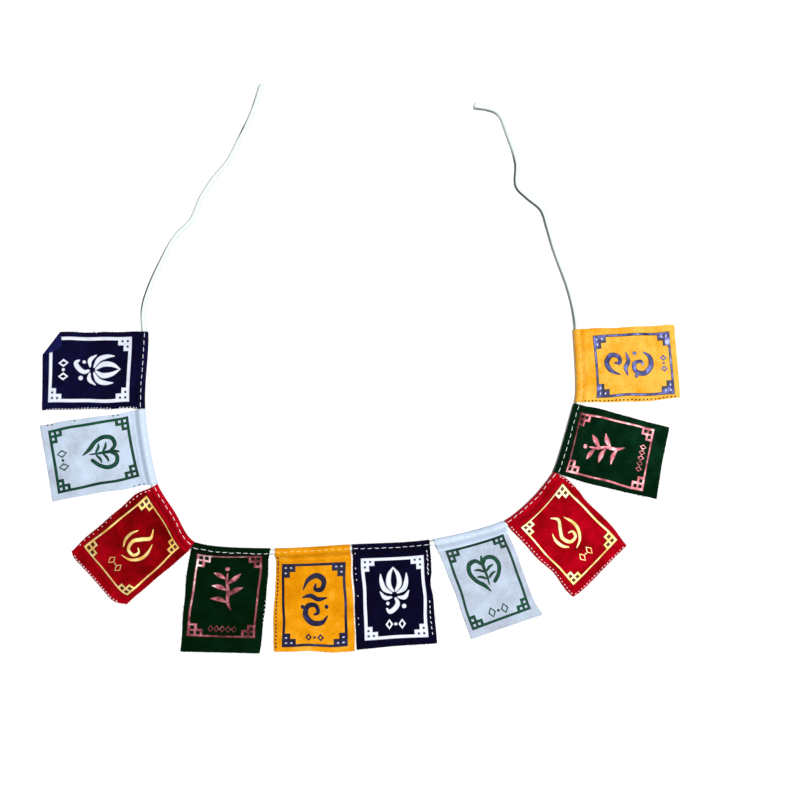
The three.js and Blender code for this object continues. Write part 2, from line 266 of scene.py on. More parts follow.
def mesh_object(name, points, face_sets, materials, uv=None, marks=None, sharp=None, which=None):
    """A mesh object at the origin, from points in metres and arrays of faces with the same
    number of corners in each array. marks are per-point values that a material reads, sharp an
    angle past which an edge stays crisp, and which the material's number on each face."""
    mesh = bpy.data.meshes.new(name)
    corners = np.concatenate([faces.ravel() for faces in face_sets]).astype(np.int32)
    sizes = np.concatenate([np.full(len(faces), faces.shape[1]) for faces in face_sets])
    mesh.vertices.add(len(points))
    mesh.vertices.foreach_set("co", np.ascontiguousarray(points, dtype=np.float32).ravel())
    mesh.loops.add(len(corners))
    mesh.loops.foreach_set("vertex_index", corners)
    mesh.polygons.add(len(sizes))
    starts = np.concatenate([[0], np.cumsum(sizes)[:-1]]).astype(np.int32)
    mesh.polygons.foreach_set("loop_start", starts)
    mesh.polygons.foreach_set("use_smooth", np.ones(len(sizes), dtype=bool))
    if which is not None:
        mesh.polygons.foreach_set("material_index", which.astype(np.int32))
    if uv is not None:
        layer = mesh.uv_layers.new(name="UVMap")
        layer.data.foreach_set("uv", uv[corners].astype(np.float32).ravel())
    for mark, values in (marks or {}).items():
        attribute = mesh.attributes.new(mark, "FLOAT", "POINT")
        attribute.data.foreach_set("value", values.astype(np.float32))
    for material in materials:
        mesh.materials.append(material)
    mesh.update(calc_edges=True)
    mesh.validate()
    if sharp is not None:
        mesh.set_sharp_from_angle(angle=math.radians(sharp))
    obj = bpy.data.objects.new(name, mesh)
    bpy.context.scene.collection.objects.link(obj)
    return obj


def tubes(lines, radii, sides):
    """Round tubes along many lines at once. lines is an array of lines, stations and three
    coordinates. A point of a ring is its station plus the radius times (cosine of the angle
    times the line's level side, plus sine times the direction square to both). The ends are
    flat. Gives the points, the quads and the end faces."""
    count, stations, _ = lines.shape
    ahead = normalised(np.gradient(lines, axis=1))
    side = normalised(np.cross(ahead, (0.0, 1e-4, 1.0)))
    over = np.cross(ahead, side)
    angle = 2 * np.pi * np.arange(sides) / sides
    spokes = (np.cos(angle)[:, None] * side[:, :, None] + np.sin(angle)[:, None] * over[:, :, None])
    points = lines[:, :, None] + radii[:, :, None, None] * spokes
    first = (np.arange(count) * stations * sides)[:, None, None]
    quads = (first + grid_quads(stations, sides, closed=True)).reshape(-1, 4)
    last = first[:, 0] + (stations - 1) * sides
    caps = np.concatenate([first[:, 0] + np.arange(sides)[::-1], last + np.arange(sides)])
    return points.reshape(-1, 3), quads, caps


# ==== The line of the cord ====

def rounded_route(corners, per_span=80):
    """The centripetal Catmull-Rom line through the corners. Each span is a cubic Hermite curve,
    and its end slopes weigh the spans on both sides by the square roots of their lengths."""
    held = np.vstack([2 * corners[0] - corners[1], corners, 2 * corners[-1] - corners[-2]])
    before, start, end, after = held[:-3], held[1:-2], held[2:-1], held[3:]
    knots = [np.sqrt(np.linalg.norm(b - a, axis=1, keepdims=True))
             for a, b in ((before, start), (start, end), (end, after))]
    first, middle, last = knots
    leave = middle * ((start - before) / first - (end - before) / (first + middle)
                      + (end - start) / middle)
    arrive = middle * ((end - start) / middle - (after - start) / (middle + last)
                       + (after - end) / last)
    t = (np.arange(per_span) / per_span)[:, None, None]
    spans = ((2 * t**3 - 3 * t**2 + 1) * start + (t**3 - 2 * t**2 + t) * leave
             + (3 * t**2 - 2 * t**3) * end + (t**3 - t**2) * arrive)
    return np.vstack([spans.transpose(1, 0, 2).reshape(-1, corners.shape[1]), corners[-1:]])


CORD_PLAN = rounded_route(ROUTE)
CORD_REACH = np.concatenate([[0], np.cumsum(np.linalg.norm(np.diff(CORD_PLAN, axis=0), axis=1))])
CORD_LENGTH = CORD_REACH[-1]

reach = 0.0
for facts in FLAGS:
    facts["start"] = reach + facts["gap"] * MM
    facts["end"] = facts["start"] + facts["hem"] * MM
    reach = facts["end"]
HEMS_START = FLAGS[0]["start"]
HEMS_END = reach


def cord_plan(distance):
    """The cord's place on the surface at a distance along it, as X and Y."""
    return np.stack([np.interp(distance, CORD_REACH, CORD_PLAN[:, k]) for k in (0, 1)], axis=-1)


def cord_line(distance):
    """The cord's centreline at a distance along it. It lies one radius above the surface on
    the tails and rises to the height of the hems beside the first and the last flag."""
    beyond = np.maximum(np.maximum(HEMS_START - distance, distance - HEMS_END), 0)
    sunk = eased(0.002, CORD_RAMP, beyond)
    height = HEM_CENTRE + (CORD_RADIUS - HEM_CENTRE) * sunk
    return np.concatenate([cord_plan(distance), height[..., None]], axis=-1)


# ==== Materials ====

def linear(code):
    """The linear colour of an sRGB hex code."""
    shares = [int(code[i:i + 2], 16) / 255 for i in (1, 3, 5)]
    return (*[c / 12.92 if c <= 0.04045 else ((c + 0.055) / 1.055) ** 2.4 for c in shares], 1.0)


def per(millimetres):
    """The scale of a noise whose grains are about that far apart, on coordinates in metres."""
    return 1 / (millimetres * MM)


def add(tree, kind, settings=None, values=None, links=None):
    """Adds a node, sets its properties and its sockets' values, and links its inputs."""
    node = tree.nodes.new(kind)
    for name, value in (settings or {}).items():
        setattr(node, name, value)
    for socket, value in (values or {}).items():
        node.inputs[socket].default_value = value
    for socket, source in (links or {}).items():
        tree.links.new(source, node.inputs[socket])
    return node


def new_material(name):
    """An empty node material and its tree."""
    material = bpy.data.materials.new(name)
    material.use_nodes = True
    material.node_tree.nodes.clear()
    return material, material.node_tree


def close_material(tree, values, links):
    """Ends a material in a Principled surface."""
    surface = add(tree, "ShaderNodeBsdfPrincipled", values=values, links=links)
    add(tree, "ShaderNodeOutputMaterial", links={"Surface": surface.outputs["BSDF"]})


# A colour mix has its share, its two colours and its result on these sockets.
MIX_SHARE = 0
MIX_FIRST = 6
MIX_SECOND = 7
MIX_RESULT = 2


def set_ramp(node, stops):
    """Gives a colour ramp its (place, hex colour) stops."""
    ramp = node.color_ramp
    while len(ramp.elements) < len(stops):
        ramp.elements.new(1.0)
    for element, (place, code) in zip(ramp.elements, stops):
        element.position = place
        element.color = linear(code)


def brushed_cotton(name, deep, plain, light, sheen):
    """Brushed cotton flannel: plain-woven cotton whose face is raised into a short nap. To the
    eye it is matt and soft, with cloudy patches where the nap lies one way or the other, fine
    streaks down the flag and the weave just showing through. The cloth's painted-light mark moves
    the colour darker or lighter over each part of the flag: painted shade and painted light."""
    material, tree = new_material(name)
    where = add(tree, "ShaderNodeTexCoord")
    flat = where.outputs["UV"]
    # Painted shade and light: the cloth's painted-light mark shifts the colour ramp darker or
    # lighter.
    tone = add(tree, "ShaderNodeAttribute", {"attribute_name": "tone"})
    clouds = add(tree, "ShaderNodeTexNoise", values={"Scale": per(15), "Detail": 3.0,
                 "Roughness": 0.6}, links={"Vector": where.outputs["Object"]})
    brushing = add(tree, "ShaderNodeMapping", values={"Scale": (per(0.8), per(2.6), 1.0)},
                   links={"Vector": flat})
    nap = add(tree, "ShaderNodeTexNoise", values={"Scale": 1.0, "Detail": 3.0,
              "Roughness": 0.65}, links={"Vector": brushing.outputs["Vector"]})
    painted_light_shift = add(tree, "ShaderNodeMath", {"operation": "MULTIPLY_ADD"}, {1: 0.3, 2: -0.32},
                {0: tone.outputs["Fac"]})
    cloudy = add(tree, "ShaderNodeMath", {"operation": "MULTIPLY_ADD"}, {1: 0.95},
                 {0: clouds.outputs["Fac"], 2: painted_light_shift.outputs[0]})
    blend = add(tree, "ShaderNodeMath", {"operation": "MULTIPLY_ADD"}, {1: 0.7},
                {0: nap.outputs["Fac"], 2: cloudy.outputs[0]})
    colour = add(tree, "ShaderNodeValToRGB", links={"Fac": blend.outputs[0]})
    set_ramp(colour, [(0.2, deep), (0.5, plain), (0.8, light)])
    # Threads are 0.32 mm apart in such cloth, drawn at 0.7 mm so that they show. The bands of
    # a wave texture are pi / 10 apart at scale 1.
    threads = {"Scale": math.pi / 10 / (0.7 * MM), "Distortion": 0.6, "Detail Scale": 1.0}
    warp, weft = [add(tree, "ShaderNodeTexWave", {"wave_type": "BANDS", "bands_direction": way},
                      threads, {"Vector": flat}) for way in ("X", "Y")]
    weave = add(tree, "ShaderNodeMath", {"operation": "MULTIPLY"},
                links={0: warp.outputs["Fac"], 1: weft.outputs["Fac"]})
    relief = add(tree, "ShaderNodeMath", {"operation": "MULTIPLY_ADD"}, {1: 0.35},
                 {0: weave.outputs[0], 2: nap.outputs["Fac"]})
    bump = add(tree, "ShaderNodeBump", values={"Strength": 0.7, "Distance": 0.16 * MM},
               links={"Height": relief.outputs[0]})
    close_material(tree, {"Roughness": 0.95, "Sheen Weight": sheen, "Sheen Roughness": 0.4,
                          "Sheen Tint": linear(light), "Specular IOR Level": 0.04},
                   {"Base Color": colour.outputs["Color"], "Normal": bump.outputs["Normal"]})
    return material


def printed_colour(tree, texture, stops, rim):
    """A print's colour: a ramp over a noise, moved by the print's painted-light mark, which is
    painted highlight where high and painted shade where low, and turning into the rim's colour
    where the mark called rim says that the film thins out at its edge."""
    shine = add(tree, "ShaderNodeAttribute", {"attribute_name": "shine"})
    edge = add(tree, "ShaderNodeAttribute", {"attribute_name": "rim"})
    place = add(tree, "ShaderNodeMath", {"operation": "MULTIPLY_ADD"}, {1: 0.26},
                {0: shine.outputs["Fac"], 2: texture})
    colour = add(tree, "ShaderNodeValToRGB", links={"Fac": place.outputs[0]})
    set_ramp(colour, stops)
    thin = add(tree, "ShaderNodeMapRange", values={"From Min": 0.05, "From Max": 0.4},
               links={"Value": edge.outputs["Fac"]})
    both = add(tree, "ShaderNodeMix", {"data_type": "RGBA"}, {MIX_SECOND: linear(rim)},
               {MIX_SHARE: thin.outputs["Result"], MIX_FIRST: colour.outputs["Color"]})
    return both.outputs[MIX_RESULT], thin.outputs["Result"]


def rubber_ink(name, deep, plain, rim):
    """Plastisol ink, screen printed and heat cured: a thin, slightly rubbery film. To the eye it
    is even and satin, with the weave telling through it, thinner, darker passes, and a darker
    rim where it has sunk into the cloth."""
    material, tree = new_material(name)
    where = add(tree, "ShaderNodeTexCoord")
    pass_marks = add(tree, "ShaderNodeTexNoise", values={"Scale": per(5), "Detail": 4.0,
                     "Roughness": 0.7}, links={"Vector": where.outputs["Object"]})
    colour, _ = printed_colour(tree, pass_marks.outputs["Fac"], [(0.3, deep), (0.56, plain)], rim)
    grain = add(tree, "ShaderNodeTexNoise", values={"Scale": per(0.6), "Detail": 2.0},
                links={"Vector": where.outputs["Object"]})
    bump = add(tree, "ShaderNodeBump", values={"Strength": 0.35, "Distance": 0.05 * MM},
               links={"Height": grain.outputs["Fac"]})
    close_material(tree, {"Roughness": 0.6, "IOR": 1.48, "Specular IOR Level": 0.15},
                   {"Base Color": colour, "Normal": bump.outputs["Normal"]})
    return material


def pressed_foil(name, stops, rim, roughness, metal):
    """Heat-transfer foil: a metallised film pressed onto printed glue. To the eye it is a partly
    metallic, finely crinkled film, less metallic and dark along its edges. Its light and dark
    patches are partly real reflection from the metal and the crinkles, and partly painted
    reflection: a noise over a ramp that climbs to pale highlight colours."""
    material, tree = new_material(name)
    where = add(tree, "ShaderNodeTexCoord")
    patches = add(tree, "ShaderNodeTexNoise", values={"Scale": per(6), "Detail": 4.0,
                  "Roughness": 0.65}, links={"Vector": where.outputs["Object"]})
    colour, thin = printed_colour(tree, patches.outputs["Fac"], stops, rim)
    crinkle = add(tree, "ShaderNodeTexNoise", values={"Scale": per(1.1), "Detail": 4.0,
                  "Roughness": 0.65}, links={"Vector": where.outputs["Object"]})
    bump = add(tree, "ShaderNodeBump", values={"Strength": 0.5, "Distance": 0.08 * MM},
               links={"Height": crinkle.outputs["Fac"]})
    bare = add(tree, "ShaderNodeMapRange", values={"From Min": 0.0, "From Max": 1.0,
               "To Min": metal, "To Max": 0.1}, links={"Value": thin})
    close_material(tree, {"Roughness": roughness, "Specular IOR Level": 0.2},
                   {"Base Color": colour, "Metallic": bare.outputs["Result"],
                    "Normal": bump.outputs["Normal"]})
    return material


def cotton_cord():
    """Bleached cotton cord, braided from soft strands. To the eye it is a matt, faintly cool
    white with a light fluff. Its colour is painted darker in the braid's hollows, a painted shade,
    and near black along one flank, a painted shadow line where the cord's shadow falls."""
    material, tree = new_material("braided_cotton")
    where = add(tree, "ShaderNodeTexCoord")
    # Painted shade: the braid's relief darkens the colour in its hollows.
    groove = add(tree, "ShaderNodeAttribute", {"attribute_name": "strand"})
    colour = add(tree, "ShaderNodeValToRGB", links={"Fac": groove.outputs["Fac"]})
    set_ramp(colour, [(0.0, "#bccccd"), (0.4, "#dbe6e6"), (0.85, "#e4eded")])
    # Painted shadow: the colour turns near black where the painted shadow line mark is high.
    dark = add(tree, "ShaderNodeAttribute", {"attribute_name": "dark_yarn"})
    both = add(tree, "ShaderNodeMix", {"data_type": "RGBA"}, {MIX_SECOND: linear("#0c0f0e")},
               {MIX_SHARE: dark.outputs["Fac"], MIX_FIRST: colour.outputs["Color"]})
    fibre = add(tree, "ShaderNodeTexNoise", values={"Scale": per(0.35), "Detail": 3.0},
                links={"Vector": where.outputs["Object"]})
    bump = add(tree, "ShaderNodeBump", values={"Strength": 0.5, "Distance": 0.1 * MM},
               links={"Height": fibre.outputs["Fac"]})
    close_material(tree, {"Roughness": 0.88, "Sheen Weight": 0.1, "Sheen Roughness": 0.5,
                          "Specular IOR Level": 0.2},
                   {"Base Color": both.outputs[MIX_RESULT], "Normal": bump.outputs["Normal"]})
    return material


def sewing_thread(name, deep, plain):
    """Spun polyester sewing thread. To the eye it is a fine, slightly shiny cord. The noise that
    raises its plies also paints them lighter on their crowns and darker between them: a painted
    highlight and a painted shade."""
    material, tree = new_material(name)
    where = add(tree, "ShaderNodeTexCoord")
    plies = add(tree, "ShaderNodeTexNoise", values={"Scale": per(0.4), "Detail": 2.0},
                links={"Vector": where.outputs["Object"]})
    colour = add(tree, "ShaderNodeValToRGB", links={"Fac": plies.outputs["Fac"]})
    set_ramp(colour, [(0.35, deep), (0.6, plain)])
    bump = add(tree, "ShaderNodeBump", values={"Strength": 0.4, "Distance": 0.06 * MM},
               links={"Height": plies.outputs["Fac"]})
    close_material(tree, {"Roughness": 0.5, "Sheen Weight": 0.05, "Specular IOR Level": 0.25},
                   {"Base Color": colour.outputs["Color"], "Normal": bump.outputs["Normal"]})
    return material


def backdrop_paper():
    """Matt white backdrop paper: an even pale surface with the faintest cloudiness."""
    material, tree = new_material("backdrop_paper")
    where = add(tree, "ShaderNodeTexCoord")
    cloud = add(tree, "ShaderNodeTexNoise", values={"Scale": per(300), "Detail": 2.0},
                links={"Vector": where.outputs["Object"]})
    colour = add(tree, "ShaderNodeValToRGB", links={"Fac": cloud.outputs["Fac"]})
    set_ramp(colour, [(0.3, "#f8f9f9"), (0.7, "#fbfcfc")])
    close_material(tree, {"Roughness": 0.95, "Specular IOR Level": 0.2},
                   {"Base Color": colour.outputs["Color"]})
    return material


FACES = {
    "navy": brushed_cotton("navy_flannel", "#06041a", "#090828", "#0f0e38", 0.015),
    "white": brushed_cotton("white_flannel", "#a3aabc", "#b4c2d4", "#c4d4ea", 0.04),
    "red": brushed_cotton("red_flannel", "#5e0001", "#8c000a", "#b4001a", 0.02),
    "green": brushed_cotton("green_flannel", "#001504", "#021d0c", "#08301c", 0.015),
    "yellow": brushed_cotton("yellow_flannel", "#c97c00", "#e2950a", "#edb84c", 0.03),
}
BACKS = {
    "navy": brushed_cotton("navy_flannel_back", "#0a0a2a", "#101240", "#1e2260", 0.02),
    "white": brushed_cotton("white_flannel_back", "#b0b8c8", "#c2ccda", "#d0dbea", 0.04),
    "red": brushed_cotton("red_flannel_back", "#7a0814", "#a01424", "#b82a3c", 0.02),
    "green": brushed_cotton("green_flannel_back", "#041d0b", "#0a2a14", "#143e22", 0.015),
    "yellow": brushed_cotton("yellow_flannel_back", "#d48a10", "#e6a02a", "#eebc58", 0.03),
}
# The foils' ramps, from dark to pale: their pale upper stops are painted highlights.
GOLD = [(0.24, "#b8842a"), (0.46, "#e2ac4c"), (0.64, "#ecc981"), (0.82, "#f4e6b8")]
ROSE = [(0.26, "#331012"), (0.46, "#88404a"), (0.62, "#c27c84"), (0.8, "#f4dcde")]
BLUE = [(0.26, "#0b0826"), (0.46, "#1b1c4c"), (0.64, "#525a94"), (0.84, "#a4aed2")]
PRINTS = {
    "navy": ("print_white", rubber_ink("white_ink", "#c8cedd", "#dfe4ee", "#c3cadb")),
    "white": ("print_green", rubber_ink("green_ink", "#032a20", "#084a34", "#02251d")),
    "red": ("print_gold", pressed_foil("gold_foil", GOLD, "#4e2008", 0.45, 0.35)),
    "green": ("print_rose", pressed_foil("rose_foil", ROSE, "#3a1414", 0.42, 0.45)),
    "yellow": ("print_blue", pressed_foil("blue_foil", BLUE, "#0c0926", 0.45, 0.35)),
}
PALE_DAB = rubber_ink("pale_ink", "#b4b8d6", "#d2d6ea", "#b0b2cc")
THREADS = {
    "white": ("thread_white", sewing_thread("white_thread", "#dbe2ea", "#f8fbff")),
    "cream": ("thread_white", sewing_thread("cream_thread", "#f2cc68", "#ffe69a")),
    "dark": ("thread_dark", sewing_thread("dark_thread", "#0a0612", "#170f20")),
}
CORD_FINISH = cotton_cord()


# ==== The camera and the cord ====

LOW, HIGH = (np.array(corner) for corner in CAD_BOX)
MIDDLE = (LOW + HIGH) / 2
CAMERA_SHIFT = (0.0317, -0.0242)  # from the layout's middle: it lies high and left in the view
CAMERA_HEIGHT = 0.867             # above the flags' cloth, with a 50 mm lens


def add_camera():
    """A camera straight above the layout, looking down."""
    lens = bpy.data.cameras.new("camera")
    lens.lens = 50
    lens.sensor_width = 36
    camera = bpy.data.objects.new("camera", lens)
    camera.location = (MIDDLE[0] + CAMERA_SHIFT[0], MIDDLE[1] + CAMERA_SHIFT[1],
                       LOW[2] + CLOTH + CAMERA_HEIGHT)
    bpy.context.scene.collection.objects.link(camera)
    bpy.context.scene.camera = camera


STRANDS = 8                       # braid strands in each direction
BRAID_LEAD = 0.0150               # length in which a strand goes once round the cord
BRAID_DEPTH = 0.00028             # of the hollows between the strands
CORD_SIDES = 48
# How strongly the painted shadow line shows on the cord's outer flank, the one on the left in
# the view, where the cord's shadow falls: (millimetres from the left end, strength). Between the
# listed places it goes in straight steps.
PAINTED_SHADOW_LINE = [(0, .3), (8, .4), (16, .6), (22, .3), (32, .5), (38, 1), (44, .6), (48, .25),
             (140, .25), (152, .6), (170, .85), (192, 1), (199, .9), (206, .35), (216, .25),
             (808, .3), (816, .8), (870, .6), (900, .9), (955, 1), (967, .25), (993, .15),
             (1000, .7), (1013, .7), (1016, .3)]
BARE_STEP = 0.00042               # from ring to ring of the tube, where the cord is bare
HIDDEN_STEP = 0.003               # and inside the hems


def braid_relief(distance, angle):
    """Height from 0 to 1 of a braid's surface. Strands wind both ways round the cord, so its
    surface is a net of lozenges; the numbers of the two strands that meet in a lozenge say
    which is on top, and that one's half-sine section is drawn, sinking towards its ends."""
    turn = distance / BRAID_LEAD
    around = angle / (2 * np.pi)
    right = (around + turn) * STRANDS
    left = (around - turn) * STRANDS
    right_on_top = (np.floor(right) + np.floor(left)) % 2 == 0
    over = np.where(right_on_top, right, left) % 1
    under = np.where(right_on_top, left, right) % 1
    return np.sin(np.pi * over) ** 0.6 * (0.55 + 0.45 * np.sin(np.pi * under) ** 0.5)


def cord_stations():
    """Distances along the cord of the tube's rings: close together where the cord is bare and
    for 3 mm into each hem, and far apart where the hems hide it."""
    edges = [0.0]
    for facts in FLAGS:
        edges += [facts["start"] + 0.003, facts["end"] - 0.003]
    edges.append(CORD_LENGTH)
    steps = [BARE_STEP if k % 2 == 0 else HIDDEN_STEP for k in range(len(edges) - 1)]
    runs = [np.linspace(a, b, max(int((b - a) / step), 2), endpoint=False)
            for a, b, step in zip(edges[:-1], edges[1:], steps)]
    return np.concatenate([*runs, [CORD_LENGTH]])


def cord_swell(distance):
    """The cord's radius along it: even, with slow soft swellings, rounded off over the last
    0.8 mm at both ends and flared where the right tail has begun to come apart."""
    slow = 0.02 * np.sin(distance / 0.013) + 0.015 * np.sin(distance / 0.0047 + 1.3)
    from_end = np.minimum(distance, CORD_LENGTH - distance)
    rounded = np.sqrt(1 - (1 - np.clip(from_end / 0.0008, 0.02, 1)) ** 2)
    flare = 1 + 0.38 * (1 - eased(0.0005, 0.008, CORD_LENGTH - distance))
    return CORD_RADIUS * (1 + slow) * rounded * flare


def make_cord():
    """The braided cord. A point is the centreline plus the radius, less the braid's hollows,
    along the spoke at its angle: cosine times the level side plus sine times the direction
    square to both. A single point closes each end. The painted shadow line mark is the table's
    strength where the spoke points to the outer flank, and faint on the inner one."""
    distance = cord_stations()
    line = cord_line(distance)
    ahead = normalised(np.gradient(line, axis=0))
    side = normalised(np.cross(ahead, (0.0, 0.0, 1.0)))
    over = np.cross(ahead, side)
    angle = 2 * np.pi * np.arange(CORD_SIDES) / CORD_SIDES
    relief = braid_relief(distance[:, None], angle[None, :])
    radius = cord_swell(distance)[:, None] - BRAID_DEPTH * (1 - relief)
    radius = np.maximum(radius, 0.0001)
    spokes = np.cos(angle)[:, None] * side[:, None] + np.sin(angle)[:, None] * over[:, None]
    rings = line[:, None] + radius[..., None] * spokes
    rings[..., 2] = np.maximum(rings[..., 2], LOWEST)
    points = np.vstack([rings.reshape(-1, 3), line[:1], line[-1:]])
    count = len(distance) * CORD_SIDES
    around = np.arange(CORD_SIDES)
    after = (around + 1) % CORD_SIDES
    last = count - CORD_SIDES
    start_fan = np.stack([np.full(CORD_SIDES, count), after, around], axis=1)
    end_fan = np.stack([np.full(CORD_SIDES, count + 1), last + around, last + after], axis=1)
    # The braid's relief, which the cord's finish turns into painted shade in its hollows.
    strand = np.append(relief.ravel(), [0.6, 0.6])
    # Painted shadow: a dark line along the cord's outer flank, where its shadow falls.
    shows = np.interp(distance / MM, *zip(*PAINTED_SHADOW_LINE))
    on_left = (distance < CORD_LENGTH / 2)[:, None]
    outer = np.where(on_left, 1, -1) * np.cos(angle)
    first = np.where(on_left, 0.24, 0.56)
    shadow_line_share = shows[:, None] * eased(first, first + 0.18, outer) + 0.12 * eased(0.75, 0.95, -outer)
    shadow_line_share = np.append(shadow_line_share.ravel(), [0.0, 0.0])
    faces = [grid_quads(len(distance), CORD_SIDES, closed=True), np.vstack([start_fan, end_fan])]
    return mesh_object("braided_cord", points, faces, [CORD_FINISH],
                       marks={"strand": strand, "dark_yarn": shadow_line_share})


def make_frayed_end(rng, name, at, outwards, count, longest, spread):
    """Loose fibres at a cut end. Each starts at a random place in the cord's section and runs
    on along the cord, leaning outwards in proportion to the square of its length, and drooping
    to the surface."""
    root = cord_line(np.array([at]))[0]
    ahead = outwards * normalised(cord_line(np.array([at + 1e-4])) - cord_line(np.array([at])))[0]
    side = normalised(np.cross(ahead, (0.0, 0.0, 1.0)))
    over = np.cross(side, ahead)
    angle = rng.uniform(0, 2 * np.pi, count)
    away = np.sqrt(rng.uniform(0, 1, count)) * CORD_RADIUS * 0.85
    lean = np.cos(angle)[:, None] * side + np.sin(angle)[:, None] * over
    length = longest * rng.uniform(0.35, 1.0, count)
    t = np.linspace(0, 1, 7)
    run = length[:, None] * t
    curl = rng.normal(0, 1, (count, 3))[:, None] * (0.16 * length[:, None] * t**2)[..., None]
    lines = (root + away[:, None, None] * lean[:, None]
             + (run - 0.0006)[..., None] * ahead
             + (spread * run * t * (0.4 + away[:, None] / CORD_RADIUS))[..., None] * lean[:, None]
             + curl)
    lines[..., 2] = np.maximum(lines[..., 2] - 0.0006 * t**2, 0.00012)
    radii = np.broadcast_to(0.00009 * (1 - 0.6 * t), (count, 7))
    points, quads, caps = tubes(lines, radii, 5)
    # The fibres take a fixed share of the braid's painted hollow shade.
    strand = np.full(len(points), 0.75)
    return mesh_object(name, points, [quads, caps], [CORD_FINISH], marks={"strand": strand})


# ==== The cloth of a flag ====

def ridge_height(down):
    """Height of the middle of the cloth on the face, at a distance down from the cord. It is the
    top of a circle round the cord, then a cubic Hermite curve down to the turned edge, and a
    smooth step off it onto the surface."""
    circle = HEM_CENTRE + np.sqrt(np.maximum(HEM_RADIUS**2 - down**2, 1e-12))
    start_height = HEM_CENTRE + math.sqrt(HEM_RADIUS**2 - HEM_TANGENT**2)
    start_slope = -HEM_TANGENT / math.sqrt(HEM_RADIUS**2 - HEM_TANGENT**2)
    span = HEM_SHOULDER - HEM_TANGENT
    t = np.clip((down - HEM_TANGENT) / span, 0, 1)
    fall = ((2 * t**3 - 3 * t**2 + 1) * start_height + (t**3 - 2 * t**2 + t) * span * start_slope
            + (3 * t**2 - 2 * t**3) * SHOULDER_HEIGHT)
    step = SHOULDER_HEIGHT + (CLOTH / 2 - SHOULDER_HEIGHT) * eased(HEM_SHOULDER, HEM_FOOT, down)
    return np.where(down < HEM_TANGENT, circle, np.where(down < HEM_SHOULDER, fall, step))


def hem_profile():
    """The middle of the cloth from its turned edge to the top of the ridge, as distance down
    from the cord and height: flat under the cord, a quarter circle up its far side, a short
    straight rise, and a quarter circle over the top."""
    flat = np.linspace(HEM_TURN, 0, 9)[:-1]
    low = np.radians(np.linspace(-90, -180, 10))
    high = np.radians(np.linspace(180, 90, 12))[:-1]
    down = np.concatenate([flat, HEM_RADIUS * np.cos(low), HEM_RADIUS * np.cos(high)])
    height = np.concatenate([np.full(len(flat), CLOTH / 2),
                             HEM_LOW_CENTRE + HEM_RADIUS * np.sin(low),
                             HEM_CENTRE + HEM_RADIUS * np.sin(high)])
    return down, height


